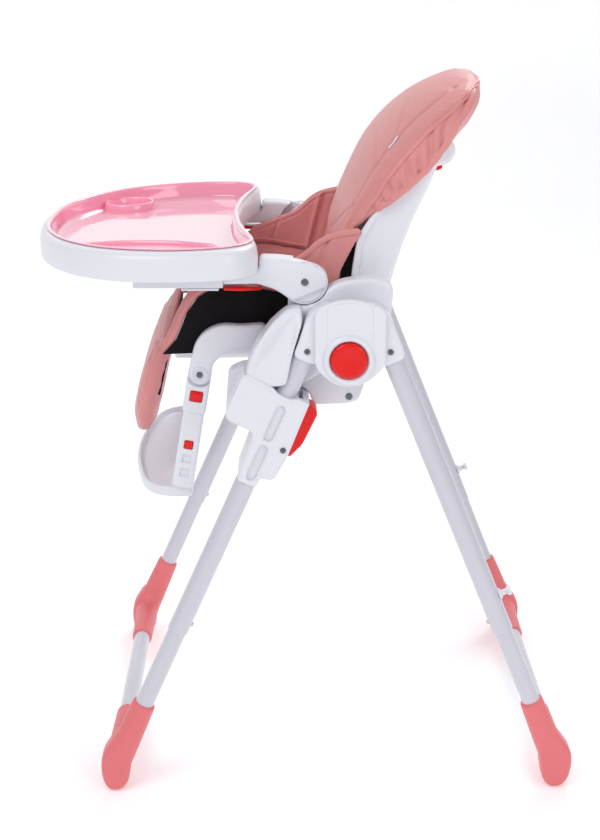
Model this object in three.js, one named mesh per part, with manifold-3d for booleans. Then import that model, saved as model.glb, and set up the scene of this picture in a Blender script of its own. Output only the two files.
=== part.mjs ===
// Folding baby high chair with height-adjustable seat, reclining back, lift-up armrests,
// sliding tray with removable insert, and a swinging two-part footrest.
// Millimetres. +X is the chair's left, -Y is the side the tray is on, +Z is up.
// The origin is on the floor, at the centre of the chair's footprint box.

import * as THREE from 'three';
import { mergeVertices } from 'three/addons/utils/BufferGeometryUtils.js';
import Module from 'manifold-3d';

const wasm = await Module();
wasm.setup();

// ---------------------------------------------------------------- driving dimensions

const GAP = 0.3;                        // between pieces that touch

const LEG_X = 265;                      // leg tube centre planes, left and right
const PIVOT = { y: 57, z: 682 };        // fold axis of the two leg pairs
const FRONT_LEG = { y: -100, z: 467, slope: 0.441 };   // a point on the centre line, dy/dz
const REAR_LEG = { y: 145, z: 616, slope: -0.407 };
const LEG_TOP_Z = 738;
const FRONT_SEAM_Z = 261;
const REAR_SEAM_Z = 257;
const UPPER_TUBE = { radius: 15.25, wall: 1.2 };
const BASE_TUBE = { radius: 13.7, wall: 1.2 };
const TUBE_OVERLAP = 40;                // base tube arm inside the upper tube
const BASE_BEND_RADIUS = 45;
const CROSSBAR_Z = 50;

const FOOT = { armTopZ: 142, armEndX: 132, outerX: 284, innerX: 246 };

const HUB = { innerX: 246.5, splitX: 265, outerX: 283.7, discRadius: 34 };
const HUB_CAP = { innerX: 284, faceX: 292, ringX: 296, ringRadius: 33, holeRadius: 26.2 };
const BUTTON = { innerX: 290.3, outerX: 300, radius: 25.4 };
const AXLE_RADIUS = 6;

const FRAME_PLATE = { innerX: 212, outerX: 244, wall: 3.5 };
const FRAME_FLANGE_X = 283;
const PIVOT_PLATE = { innerX: 204, outerX: 225 };
const SLIDER = { innerX: 205, outerX: 286, wall: 4 };

const PIN_RADIUS = 4;
const RECLINE_PIVOT = { y: 61, z: 609 };
const ARM_PIVOT = { y: -3, z: 781, radius: 33 };
const ARM = { innerX: 205, outerX: 245, lugX: 224 };
const FOOT_PIVOT = { y: -153, z: 637, radius: 17 };
const FOOT_LEG = { innerX: 186, outerX: 208 };

const PAN_HALF = 188;
const BACK_SHELL_HALF = 180;
const BACK_PAD_HALF = 198;

const TRAY = { rimZ: 836, skirt: 38, depth: 27, wall: 4, tilt: 1.6, pivotY: -68 };
const INSERT = { wall: 3, floorThickness: 2.4 };

// ---------------------------------------------------------------- colours

const MATERIALS = {
  white: { color: 0xe6e6ec, roughness: 0.38, metalness: 0 },
  frameTube: { color: 0xd2d2dc, roughness: 0.3, metalness: 0.35 },
  steel: { color: 0x6f7378, roughness: 0.3, metalness: 1 },
  footPink: { color: 0xe27478, roughness: 0.5, metalness: 0 },
  trayPink: { color: 0xfbabc0, roughness: 0.15, metalness: 0 },
  red: { color: 0xeb1a0c, roughness: 0.35, metalness: 0 },
  leather: { color: 0xcf8f8c, roughness: 0.55, metalness: 0 },
};

const chair = new THREE.Group();

// ---------------------------------------------------------------- helpers

function toManifold(geometry) {
  const bare = geometry.clone();
  bare.deleteAttribute('normal');
  bare.deleteAttribute('uv');
  const merged = mergeVertices(bare, 1e-4);
  return new wasm.Manifold(new wasm.Mesh({
    numProp: 3,
    vertProperties: new Float32Array(merged.attributes.position.array),
    triVerts: new Uint32Array(merged.index.array),
  }));
}

function toGeometry(solid) {
  const mesh = solid.getMesh();
  const geometry = new THREE.BufferGeometry();
  geometry.setAttribute('position', new THREE.BufferAttribute(new Float32Array(mesh.vertProperties), 3));
  geometry.setIndex(new THREE.BufferAttribute(new Uint32Array(mesh.triVerts), 1));
  geometry.computeVertexNormals();
  return geometry;
}

function join(...solids) {
  return solids.reduce((sum, solid) => sum.add(solid));
}

function cut(solid, ...tools) {
  return tools.reduce((rest, tool) => rest.subtract(tool), solid);
}

function addPart(name, solid, materialName) {
  const material = new THREE.MeshStandardMaterial(MATERIALS[materialName]);
  const mesh = new THREE.Mesh(toGeometry(solid), material);
  mesh.name = name;
  chair.add(mesh);
}

// A left piece is built at +X. The right one is its mirror image.
function addPair(name, solid, materialName) {
  addPart(`${name}_left`, solid, materialName);
  addPart(`${name}_right`, solid.mirror([1, 0, 0]), materialName);
}

const toVectors = (points) => points.map(([a, b]) => new THREE.Vector2(a, b));

// Extrudes a closed (y, z) outline along X, from x0 to x1, with optional rounded edges.
function plateX(points, x0, x1, edge = 0) {
  const shape = new THREE.Shape(toVectors(edge > 0 ? inset(points, edge) : points));
  const geometry = new THREE.ExtrudeGeometry(shape, {
    depth: x1 - x0 - 2 * edge,
    bevelEnabled: edge > 0,
    bevelSize: edge,
    bevelThickness: edge,
    bevelSegments: 1,
    steps: 1,
  });
  // Shape x, y and depth become Y, Z and X.
  geometry.applyMatrix4(new THREE.Matrix4().makeBasis(
    new THREE.Vector3(0, 1, 0), new THREE.Vector3(0, 0, 1), new THREE.Vector3(1, 0, 0)));
  geometry.translate(x0 + edge, 0, 0);
  return toManifold(geometry);
}

// Extrudes a closed (x, y) outline upwards, from z0 to z1.
function plateZ(points, z0, z1, edge = 0) {
  const shape = new THREE.Shape(toVectors(edge > 0 ? inset(points, edge) : points));
  const geometry = new THREE.ExtrudeGeometry(shape, {
    depth: z1 - z0 - 2 * edge,
    bevelEnabled: edge > 0,
    bevelSize: edge,
    bevelThickness: edge,
    bevelSegments: 1,
    steps: 1,
  });
  geometry.translate(0, 0, z0 + edge);
  return toManifold(geometry);
}

function box(x0, x1, y0, y1, z0, z1) {
  const geometry = new THREE.BoxGeometry(x1 - x0, y1 - y0, z1 - z0);
  geometry.translate((x0 + x1) / 2, (y0 + y1) / 2, (z0 + z1) / 2);
  return toManifold(geometry);
}

// A round bar between two points, with its own radius at each end.
function rod(start, end, startRadius, endRadius = startRadius, sides = 18) {
  const axis = end.clone().sub(start);
  const geometry = new THREE.CylinderGeometry(endRadius, startRadius, axis.length(), sides);
  const turn = new THREE.Quaternion().setFromUnitVectors(
    new THREE.Vector3(0, 1, 0), axis.clone().normalize());
  geometry.applyQuaternion(turn);
  const middle = start.clone().add(end).multiplyScalar(0.5);
  geometry.translate(middle.x, middle.y, middle.z);
  return toManifold(geometry);
}

function discX(centre, radius, x0, x1, sides = 24) {
  return rod(new THREE.Vector3(x0, centre.y, centre.z), new THREE.Vector3(x1, centre.y, centre.z),
    radius, radius, sides);
}

function ball(x, y, z, radius) {
  const geometry = new THREE.SphereGeometry(radius, 16, 8);
  geometry.translate(x, y, z);
  return toManifold(geometry);
}

// Moves every edge of a closed outline inwards by `distance` (outwards if negative).
function inset(points, distance) {
  const count = points.length;
  const area = points.reduce((sum, [ax, ay], i) => {
    const [bx, by] = points[(i + 1) % count];
    return sum + ax * by - bx * ay;
  }, 0);
  const turn = Math.sign(area);
  return points.map(([x, y], i) => {
    const [px, py] = points[(i + count - 1) % count];
    const [nx, ny] = points[(i + 1) % count];
    const before = new THREE.Vector2(x - px, y - py).normalize();
    const after = new THREE.Vector2(nx - x, ny - y).normalize();
    const normal = new THREE.Vector2(-before.y - after.y, before.x + after.x).normalize();
    const share = Math.max(0.5, normal.dot(new THREE.Vector2(-before.y, before.x)));
    return [x + turn * normal.x * distance / share, y + turn * normal.y * distance / share];
  });
}

// A smooth open line through a few points.
function smoothLine(points, count) {
  const curve = new THREE.CatmullRomCurve3(
    points.map(([a, b]) => new THREE.Vector3(a, b, 0)), false, 'centripetal');
  return curve.getSpacedPoints(count).map((p) => [p.x, p.y]);
}

const mirrorX = (points) => points.map(([x, y]) => [-x, y]).reverse();

// A path that keeps exactly the stations it is given: a few on straights, more in bends.
class StationPath extends THREE.Curve {
  constructor(stations) {
    super();
    this.stations = stations;
  }

  getPointAt(u) {
    return this.stations[Math.round(u * (this.stations.length - 1))].clone();
  }

  getTangentAt(u) {
    const last = this.stations.length - 1;
    const i = Math.round(u * last);
    const before = this.stations[Math.max(i - 1, 0)];
    const after = this.stations[Math.min(i + 1, last)];
    const here = this.stations[i];
    const into = here.clone().sub(before).normalize();
    const out = after.clone().sub(here).normalize();
    return into.add(out).normalize();
  }

  getSpacedPoints(divisions) {
    return Array.from({ length: divisions + 1 }, (_, i) => this.getPointAt(i / divisions));
  }
}

function circleShape(radius, sides) {
  return new THREE.Shape(Array.from({ length: sides }, (_, i) => {
    const angle = 2 * Math.PI * i / sides;
    return new THREE.Vector2(radius * Math.cos(angle), radius * Math.sin(angle));
  }));
}

// A round section swept along the stations, hollow if it has a wall.
function sweptTube(stations, radius, wall = 0, sides = 14) {
  const shape = circleShape(radius, sides);
  if (wall > 0) {
    shape.holes.push(new THREE.Path(circleShape(radius - wall, sides).getPoints().reverse()));
  }
  return toManifold(new THREE.ExtrudeGeometry(shape, {
    steps: stations.length - 1,
    extrudePath: new StationPath(stations),
    bevelEnabled: false,
  }));
}

// ---------------------------------------------------------------- leg geometry

const legPoint = (leg, z, x = LEG_X) => new THREE.Vector3(x, leg.y + leg.slope * (z - leg.z), z);

function legTube(leg, seamZ) {
  return sweptTube([legPoint(leg, seamZ), legPoint(leg, LEG_TOP_Z)], UPPER_TUBE.radius, UPPER_TUBE.wall, 18);
}

// Down the left arm, round the bend, along the crossbar and up the right arm.
function baseStations(leg, seamZ) {
  const corner = legPoint(leg, CROSSBAR_Z);
  const up = legPoint(leg, LEG_TOP_Z).sub(corner).normalize();
  const inward = new THREE.Vector3(-1, 0, 0);
  const centre = corner.clone()
    .addScaledVector(up, BASE_BEND_RADIUS)
    .addScaledVector(inward, BASE_BEND_RADIUS);
  const bendSteps = 5;
  const half = [legPoint(leg, seamZ + TUBE_OVERLAP)];
  for (let i = 0; i <= bendSteps; i += 1) {
    const angle = (Math.PI / 2) * i / bendSteps;
    half.push(centre.clone()
      .addScaledVector(inward, -BASE_BEND_RADIUS * Math.cos(angle))
      .addScaledVector(up, -BASE_BEND_RADIUS * Math.sin(angle)));
  }
  const other = half.map((p) => new THREE.Vector3(-p.x, p.y, p.z)).reverse();
  return [...half, ...other];
}

// A soft plastic elbow over each bottom corner. Its block reaches the floor under the bend.
function footCap(leg, seamZ, blockOutline) {
  const corner = legPoint(leg, CROSSBAR_Z);
  const armTop = legPoint(leg, FOOT.armTopZ);
  const armLow = legPoint(leg, CROSSBAR_Z + 8);
  const crossEnd = new THREE.Vector3(FOOT.armEndX, corner.y, corner.z);
  const crossStart = new THREE.Vector3(LEG_X - 8, corner.y, corner.z);
  const body = join(
    rod(armLow, armTop, 20.5, 17.2),
    rod(crossEnd, crossStart, 17.2, 20.5),
    ball(LEG_X - 6, corner.y, corner.z, 21),
    plateX(blockOutline, FOOT.innerX, FOOT.outerX, 7),
  );
  const bore = sweptTube(baseStations(leg, seamZ), BASE_TUBE.radius + GAP);
  return cut(body, bore);
}

const FRONT_BLOCK = [
  [-309, 60], [-312, 40], [-310, 17], [-302, 0], [-282, 0], [-271, 12], [-266, 40], [-265, 66],
  [-286, 96],
];
const REAR_BLOCK = [
  [376, 96], [356, 66], [355, 40], [360, 12], [369, 0], [389, 0], [400, 14], [404, 38], [402, 60],
];

addPair('front_leg_tube', legTube(FRONT_LEG, FRONT_SEAM_Z), 'frameTube');
addPair('rear_leg_tube', legTube(REAR_LEG, REAR_SEAM_Z), 'frameTube');
const baseTube = (leg, seamZ) => sweptTube(baseStations(leg, seamZ), BASE_TUBE.radius, BASE_TUBE.wall);
addPart('front_base_tube', baseTube(FRONT_LEG, FRONT_SEAM_Z), 'frameTube');
addPart('rear_base_tube', baseTube(REAR_LEG, REAR_SEAM_Z), 'frameTube');
addPair('front_foot', footCap(FRONT_LEG, FRONT_SEAM_Z, FRONT_BLOCK), 'footPink');
addPair('rear_foot', footCap(REAR_LEG, REAR_SEAM_Z, REAR_BLOCK), 'footPink');

const TRAY_HOOK_Z = 311;

// T-shaped pegs behind the rear legs, where the tray hangs when it is off.
function trayHook() {
  const z = TRAY_HOOK_Z;
  const root = legPoint(REAR_LEG, z);
  const out = new THREE.Vector3(0, 0.926, 0.377);
  const start = root.clone().addScaledVector(out, UPPER_TUBE.radius + GAP);
  const tip = root.clone().addScaledVector(out, UPPER_TUBE.radius + 15);
  const bar = new THREE.Vector3(9, 0, 0);
  return join(
    rod(start, tip, 4.5, 4, 10),
    rod(start, root.clone().addScaledVector(out, UPPER_TUBE.radius + 3), 8.5, 7.5, 12),
    rod(tip.clone().sub(bar), tip.clone().add(bar), 3.4, 3.4, 8),
  );
}
addPair('tray_hook', trayHook(), 'white');

// ---------------------------------------------------------------- fold hubs

const COVER = {
  front: [
    [-20, 684], [-13, 702], [-2, 734], [4, 744], [12, 751], [28, 757], [44, 748], [26, 700], [12, 670],
  ],
  rear: [
    [101, 667], [132, 679], [135, 687], [122, 719], [118, 733], [108, 747], [92, 757], [70, 748], [85, 706],
  ],
  cap: [
    [10, 748], [18, 756], [36, 764], [57, 767], [78, 764], [100, 756], [108, 748], [108, 673], [92, 656],
    [76, 646], [57, 643], [38, 646], [24, 656], [10, 672],
  ],
};
const HUB_WEB = {
  front: [[20, 665], [57, 650], [57, 714], [30, 720]],
  rear: [[94, 665], [57, 650], [57, 714], [84, 720]],
};

function hubHousing(leg, outline, web, discX0, discX1) {
  const tube = rod(legPoint(leg, 600), legPoint(leg, LEG_TOP_Z + GAP), UPPER_TUBE.radius + GAP);
  return cut(
    join(
      plateX(outline, HUB.innerX, HUB.outerX, 2),
      plateX(web, discX0, discX1),
      discX(PIVOT, HUB.discRadius, discX0, discX1),
    ),
    tube,
    discX(PIVOT, AXLE_RADIUS + GAP, HUB.innerX - 1, HUB.outerX + 1, 20),
  );
}

const innerLayer = [HUB.innerX, HUB.splitX - GAP];
const outerLayer = [HUB.splitX + GAP, HUB.outerX];
addPair('front_hub_housing', hubHousing(FRONT_LEG, COVER.front, HUB_WEB.front, ...innerLayer), 'white');
addPair('rear_hub_housing', hubHousing(REAR_LEG, COVER.rear, HUB_WEB.rear, ...outerLayer), 'white');

addPair('hub_axle', join(
  discX(PIVOT, AXLE_RADIUS, HUB.innerX - 0.5, HUB.outerX, 20),
  discX(PIVOT, 10, HUB.innerX - 1.8, HUB.innerX - GAP, 20),
), 'steel');

addPair('hub_cap', cut(
  join(
    plateX(COVER.cap, HUB_CAP.innerX, HUB_CAP.faceX, 2),
    discX(PIVOT, HUB_CAP.ringRadius, HUB_CAP.faceX - 1, HUB_CAP.ringX),
  ),
  discX(PIVOT, HUB_CAP.holeRadius, HUB_CAP.innerX - 1, HUB_CAP.ringX + 1),
), 'white');

addPair('fold_button', discX(PIVOT, BUTTON.radius, BUTTON.innerX, BUTTON.outerX), 'red');

// ---------------------------------------------------------------- seat side frames and sliders

const FRAME_OUTLINE = [
  [-87, 654], [-73, 691], [-63, 706], [-44, 730], [-22, 747], [4, 746], [32, 774], [53, 782], [87, 786],
  [107, 783], [118, 777], [121, 764], [118, 741], [119, 712], [96, 690], [40, 664], [8, 640], [-20, 625.5], [-50, 642],
];
const FLANGE_OUTLINE = [
  [-87, 654], [-80, 674], [-73, 691], [-63, 706], [-50, 721], [-32, 720], [-22, 700], [-26, 678],
  [-36, 643], [-50, 642],
];
const PIVOT_PLATE_OUTLINE = [
  [-56, 650], [-20, 628], [3, 619], [9, 596], [59, 598], [74, 603], [78, 612], [84, 632], [108, 700],
  [60, 720], [-46, 706],
];
const SLIDER_OUTLINE = [
  [-111, 650], [-86, 661], [-50, 641], [-41, 630], [-21, 622], [-14, 623], [4, 616], [1, 610],
  [-28, 537], [-48, 501], [-67, 506], [-72, 491], [-101, 503], [-77, 569], [-79, 576], [-115, 594],
];
// The front corner of the slider is cut back to a slope on its outer half.
const SLIDER_SLOPE = { outline: [[-86.5, 662], [-114.5, 600], [-130, 600], [-130, 680]], fromX: 238 };

const frontTubePath = (gap) => rod(
  legPoint(FRONT_LEG, 400), legPoint(FRONT_LEG, 790), UPPER_TUBE.radius + gap);

function sideFrame() {
  const plate = plateX(FRAME_OUTLINE, FRAME_PLATE.innerX, FRAME_PLATE.outerX, 2);
  const pocketEnd = FRAME_PLATE.outerX - FRAME_PLATE.wall;
  const pocket = plateX(inset(FRAME_OUTLINE, 6), FRAME_PLATE.innerX - 1, pocketEnd);
  const flange = plateX(FLANGE_OUTLINE, FRAME_PLATE.outerX - 1, FRAME_FLANGE_X, 1.5);
  const pivotPlate = plateX(PIVOT_PLATE_OUTLINE, PIVOT_PLATE.innerX, PIVOT_PLATE.outerX);
  const armLug = discX(ARM_PIVOT, ARM_PIVOT.radius - 11, FRAME_PLATE.innerX, ARM.lugX - GAP);
  const lugNeck = plateX([[-26, 740], [22, 740], [20, 770], [-26, 770]], FRAME_PLATE.innerX, ARM.lugX - GAP);
  return cut(
    join(cut(plate, pocket), flange, pivotPlate, armLug, lugNeck),
    frontTubePath(1),
    plateX(inset(SLIDER_OUTLINE, -GAP), FRAME_PLATE.innerX - 20, FRAME_FLANGE_X + 1),
    discX(RECLINE_PIVOT, PIN_RADIUS + GAP, 200, 230, 12),
    discX(ARM_PIVOT, PIN_RADIUS + GAP, 205, 250, 12),
    // The armrest's round end turns in a saddle in the frame's top edge.
    discX(ARM_PIVOT, ARM_PIVOT.radius + 0.6, ARM.lugX - GAP, FRAME_PLATE.outerX + 1, 32),
  );
}
addPair('seat_side_frame', sideFrame(), 'white');

// Along the slider, u runs up the tube and v runs away from it, towards the rear.
const TUBE_UP = { y: 0.4035, z: 0.915 };
const TUBE_BACK = { y: 0.915, z: -0.4035 };

function alongTube(y, z, u, v) {
  return [y + TUBE_UP.y * u + TUBE_BACK.y * v, z + TUBE_UP.z * u + TUBE_BACK.z * v];
}

// A slot with round ends, as a (y, z) outline.
function obround(y, z, length, width, up = TUBE_UP) {
  const side = { y: up.z, z: -up.y };
  const points = [];
  const straight = length / 2 - width / 2;
  for (const end of [1, -1]) {
    for (let i = 0; i <= 6; i += 1) {
      const angle = Math.PI * i / 6;
      const across = end * Math.cos(angle) * width / 2;
      const along = end * (straight + Math.sin(angle) * width / 2);
      points.push([y + up.y * along + side.y * across, z + up.z * along + side.z * across]);
    }
  }
  return points;
}

const LEVER_POCKET = [
  alongTube(4, 620, 6, 0), alongTube(-28, 537, -6, 6), alongTube(-28, 537, -6, -17),
  alongTube(1, 610, -3, -17),
];

function sliderHousing() {
  const body = plateX(SLIDER_OUTLINE, SLIDER.innerX, SLIDER.outerX, 3);
  const hollowOutline = inset(SLIDER_OUTLINE, SLIDER.wall + 1);
  const windows = [obround(-46, 588.5, 57, 14), obround(-71, 530.5, 57, 14)];
  return cut(
    body,
    plateX(SLIDER_SLOPE.outline, SLIDER_SLOPE.fromX, SLIDER.outerX + 1),
    cut(
      plateX(hollowOutline, SLIDER.innerX - 1, LEG_X - UPPER_TUBE.radius - 4),
      plateX([[-120, 480], [40, 480], [40, 500], [-120, 520]], SLIDER.innerX - 2, SLIDER.outerX),
    ),
    frontTubePath(0.5),
    ...windows.map((outline) => plateX(outline, SLIDER.outerX - 2.4, SLIDER.outerX + 1)),
    plateX(LEVER_POCKET, 228, 270),
  );
}
addPair('height_slider', sliderHousing(), 'white');

// Squeeze lever at the back of the slider. It turns about its lower end.
const LEVER_OUTLINE = [
  [-31, 538], [-25, 531], [-6, 551], [15, 595], [13, 603], [4, 609], [-4, 607], [-9, 598],
];
addPair('height_lever', plateX(LEVER_OUTLINE, 231, 267, 1.5), 'red');

// ---------------------------------------------------------------- seat

const PAN_SIDE = [
  [-196, 640], [10, 640], [14, 700], [14, 738], [-60, 752], [-152, 752], [-174, 718], [-188, 684],
];
const PAN_SECTION = [
  [-188, 752], [-188, 668], [-150, 643], [150, 643], [188, 668], [188, 752], [184, 752], [184, 671],
  [148, 647.5], [-148, 647.5], [-184, 671], [-184, 752],
];

// Extrudes an (x, z) section along Y, from y0 to y1.
function plateY(points, y0, y1) {
  const shape = new THREE.Shape(toVectors(points));
  const geometry = new THREE.ExtrudeGeometry(shape, { depth: y1 - y0, bevelEnabled: false, steps: 1 });
  // Shape x, y and depth become X, Z and -Y.
  geometry.applyMatrix4(new THREE.Matrix4().makeBasis(
    new THREE.Vector3(1, 0, 0), new THREE.Vector3(0, 0, 1), new THREE.Vector3(0, -1, 0)));
  geometry.translate(0, y1, 0);
  return toManifold(geometry);
}

function seatPan() {
  const trough = plateY(PAN_SECTION, -200, 14);
  const ribX = PAN_HALF - 0.5;
  const brackets = [];
  for (const side of [1, -1]) {
    const near = side * ribX;
    const far = side * (PIVOT_PLATE.innerX - GAP);
    brackets.push(box(Math.min(near, far), Math.max(near, far), -50, 0, 672, 700));
  }
  return join(trough.intersect(plateX(PAN_SIDE, -200, 200)), ...brackets);
}
addPart('seat_pan', seatPan(), 'white');

// The cushion fills the pan and carries a thin wing up each side.
function seatPad() {
  const section = [
    [-183.5, 672], [-147, 648.5], [147, 648.5], [183.5, 672], [183.5, 760], [170, 760], [160, 704],
    [138, 680], [-138, 680], [-160, 704], [-170, 760], [-183.5, 760],
  ];
  const cushion = plateY(section, -196, 13.5).intersect(plateX(
    [[-196, 640], [12, 640], [12, 762], [-150, 758], [-173, 722], [-187, 690]], -200, 200));
  const wing = plateX([
    [-96, 753], [-60, 753], [10, 740], [32, 746], [52, 832], [44, 832], [6, 815], [-40, 793], [-84, 775],
  ], 177, 188);
  return join(cushion, wing, wing.mirror([1, 0, 0]));
}
addPart('seat_pad', seatPad(), 'leather');

// The padded flap that hangs in front of the seat, behind the child's calves.
const FLAP_OUTLINE = [
  [-199, 682], [-211, 682], [-222, 662], [-234, 632], [-243, 604], [-252, 572], [-257, 545],
  [-257, 522], [-249, 505], [-242, 509], [-238, 530], [-232, 562], [-223, 600], [-213, 634],
  [-203, 660],
];
const FLAP_FACE = [
  [-155, 700], [-155, 580], [-143, 544], [-112, 517], [-55, 505], [55, 505], [112, 517],
  [143, 544], [155, 580], [155, 700],
];
addPart('calf_flap_pad', plateX(FLAP_OUTLINE, -155, 155).intersect(plateY(FLAP_FACE, -300, -150)), 'leather');

// ---------------------------------------------------------------- backrest

const SHELL_REAR = [
  [100, 640], [118, 740], [127, 776], [138, 812], [154, 855], [172, 897], [187, 932], [206, 972],
  [218, 998],
];
const SHELL_FRONT = [
  [203, 1006], [180, 975], [157, 940], [130, 900], [93, 864], [72, 830], [66, 790], [58, 700],
  [52, 640],
];
const SHELL_FOOT = [[46, 622], [47, 604], [56, 594], [68, 594], [78, 604], [84, 622]];

function backShell() {
  const outer = [...SHELL_REAR, ...SHELL_FRONT, ...SHELL_FOOT];
  const face = [
    [-BACK_SHELL_HALF, 560], [BACK_SHELL_HALF, 560], [BACK_SHELL_HALF, 900], [168, 950], [136, 988],
    [80, 1010], [0, 1020], [-80, 1010], [-136, 988], [-168, 950], [-BACK_SHELL_HALF, 900],
  ];
  const rear = SHELL_REAR.map(([y, z]) => [y - 5, z]);
  const hollow = [[-40, 622], [90, 622], ...rear, [205, 1040], [-40, 1040]];
  const tub = cut(
    plateX(outer, -BACK_SHELL_HALF, BACK_SHELL_HALF).intersect(plateY(face, 0, 260)),
    plateX(hollow, 5 - BACK_SHELL_HALF, BACK_SHELL_HALF - 5).intersect(plateY(face.map(([x, z]) =>
      [x * 0.965, z < 600 ? z : 600 + (z - 600) * 0.985]), -60, 260)),
  );
  const pivotBoss = discX(RECLINE_PIVOT, 14, BACK_SHELL_HALF - 8, PIVOT_PLATE.innerX - GAP, 24);
  return cut(
    join(tub, pivotBoss, pivotBoss.mirror([1, 0, 0])),
    discX(RECLINE_PIVOT, PIN_RADIUS + GAP, -260, 260, 12),
  );
}
addPart('back_shell', backShell(), 'white');

// Heights up the back cushion: how far forward its middle and its side seams stand, its half
// width there, and where its rear edge lies.
const PAD_RINGS = [
  { z: 690, middle: 20, seam: 22, half: 170, rear: 120 },
  { z: 740, middle: 24, seam: 30, half: 171, rear: 120 },
  { z: 800, middle: 39, seam: 46, half: 172, rear: 130 },
  { z: 836, middle: 50, seam: 62, half: 174, rear: 140 },
  { z: 862, middle: 57, seam: 80, half: 188, rear: 92 },
  { z: 893, middle: 69, seam: 98, half: 196, rear: 130 },
  { z: 936, middle: 89, seam: 132, half: BACK_PAD_HALF, rear: 177 },
  { z: 962, middle: 106, seam: 154, half: 194, rear: 202 },
  { z: 985, middle: 126, seam: 177, half: 183, rear: 246 },
  { z: 1004, middle: 147, seam: 200, half: 170, rear: 261 },
  { z: 1019, middle: 169, seam: 220, half: 153, rear: 265 },
  { z: 1033, middle: 200, seam: 238, half: 124, rear: 262 },
  { z: 1042, middle: 220, seam: 247, half: 88, rear: 257 },
  { z: 1046, middle: 233, seam: 250, half: 48, rear: 254 },
];
const PAD_UNDERSIDE = [
  [276, 1050], [276, 982], [237, 982], [230, 988], [216, 1015], [197, 1012], [176, 979],
  [152, 943], [124, 903], [88, 867], [66, 832], [60, 790], [52, 700], [48, 690],
];

// One level section of the cushion, counted round from its left rear corner.
function padRing({ z, middle, seam, half, rear }) {
  const front = [1, 0.86, 0.5, 0, -0.5, -0.86, -1].map((share) =>
    new THREE.Vector3(share * half, middle + (seam - middle) * Math.abs(share) ** 2.2, z));
  const corner = seam + (rear - seam) * 0.8;
  return [
    new THREE.Vector3(half * 0.97, corner, z), ...front, new THREE.Vector3(-half * 0.97, corner, z),
    new THREE.Vector3(-half * 0.6, rear, z), new THREE.Vector3(half * 0.6, rear, z),
  ];
}

// A closed body through rings of points that all have the same count.
function loft(rings) {
  const count = rings[0].length;
  const last = rings.length - 1;
  const middleOf = (ring) => ring.reduce((sum, p) => sum.add(p), new THREE.Vector3()).divideScalar(count);
  const points = [...rings.flat(), middleOf(rings[0]), middleOf(rings[last])];
  const faces = [];
  for (let i = 0; i < count; i += 1) {
    const next = (i + 1) % count;
    for (let r = 0; r < last; r += 1) {
      const low = r * count;
      const high = low + count;
      faces.push(low + i, high + i, low + next, low + next, high + i, high + next);
    }
    faces.push(points.length - 2, i, next);
    faces.push(points.length - 1, last * count + next, last * count + i);
  }
  const geometry = new THREE.BufferGeometry().setFromPoints(points);
  geometry.setIndex(faces);
  return toManifold(geometry);
}

// The cushion lies on the shell's front edge, and past the shell's sides its cover reaches back.
function backPad() {
  const reach = BACK_SHELL_HALF + 1;
  const behind = plateX([...PAD_UNDERSIDE, [0, 690], [0, 1050]], -reach, reach);
  const sides = [box(reach - 0.5, 210, 0, 300, 850, 1050), box(-210, 0.5 - reach, 0, 300, 850, 1050)];
  return loft(PAD_RINGS.map(padRing)).intersect(join(behind, ...sides));
}
addPart('back_pad', backPad(), 'leather');

// Housing of the recline catch, on the back of the shell, and its pull lever.
const RECLINE_HOUSING = [
  [198.2, 954], [188, 932], [179.4, 911.5], [205, 913], [216, 918], [222, 928], [222, 941], [214, 951],
];
const RECLINE_POCKET = { halfX: 40, y0: 180, y1: 211, z0: 900, z1: 921 };
const RECLINE_LEVER = [[185, 918], [183, 904], [199, 902], [206, 905], [207, 913], [203, 918]];
addPart('recline_housing', cut(
  plateX(RECLINE_HOUSING, -62, 62, 2),
  box(-RECLINE_POCKET.halfX, RECLINE_POCKET.halfX, RECLINE_POCKET.y0, RECLINE_POCKET.y1,
    RECLINE_POCKET.z0, RECLINE_POCKET.z1),
), 'white');
addPart('recline_lever', plateX(RECLINE_LEVER, -36, 36, 1.5), 'red');

const pivotScrew = (centre, x0, x1, headX) => join(
  discX(centre, PIN_RADIUS, x0, x1 + 0.5, 12),
  discX(centre, 6.2, x1, headX, 12),
);
addPair('recline_pivot_screw', pivotScrew(RECLINE_PIVOT, 174, PIVOT_PLATE.outerX + GAP, 228), 'steel');

// ---------------------------------------------------------------- armrests

const ARM_OUTLINE = [
  [-200, 776], [-70, 778], [-62, 776], [-44, 770], [-30, 760.5], [-20, 752.6], [-8, 748.4],
  [6, 749.3], [19, 756.4], [28, 768.5], [30, 782], [26, 794], [17, 801], [5, 805], [-12, 810],
  [-37, 813.5], [-66, 814.5], [-66, 798], [-200, 790],
];

// The outer face of the round end stops at a straight line; the disc behind it goes on.
const ARM_CHIN = [[-26, 753.5], [32, 777.5], [40, 740], [-20, 740]];

function armrest() {
  const body = plateX(ARM_OUTLINE, ARM.innerX, ARM.outerX, 2);
  const pocket = plateX(inset(ARM_OUTLINE, 5), ARM.innerX + 4, ARM.outerX - 4);
  const opening = plateX([[-150, 782], [-74, 784], [-74, 792], [-150, 790]], ARM.innerX - 1, ARM.innerX + 5);
  return cut(
    cut(body, pocket, opening),
    discX(ARM_PIVOT, ARM_PIVOT.radius + 0.6, ARM.innerX - 1, ARM.lugX, 28),
    plateX(ARM_CHIN, ARM.outerX - 3, ARM.outerX + 1),
    discX(ARM_PIVOT, PIN_RADIUS + GAP, 200, 260, 12),
  );
}
addPair('armrest', armrest(), 'white');
addPair('arm_pivot_screw', pivotScrew(ARM_PIVOT, FRAME_PLATE.innerX, ARM.outerX + GAP, 248), 'steel');

// ---------------------------------------------------------------- tray

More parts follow.
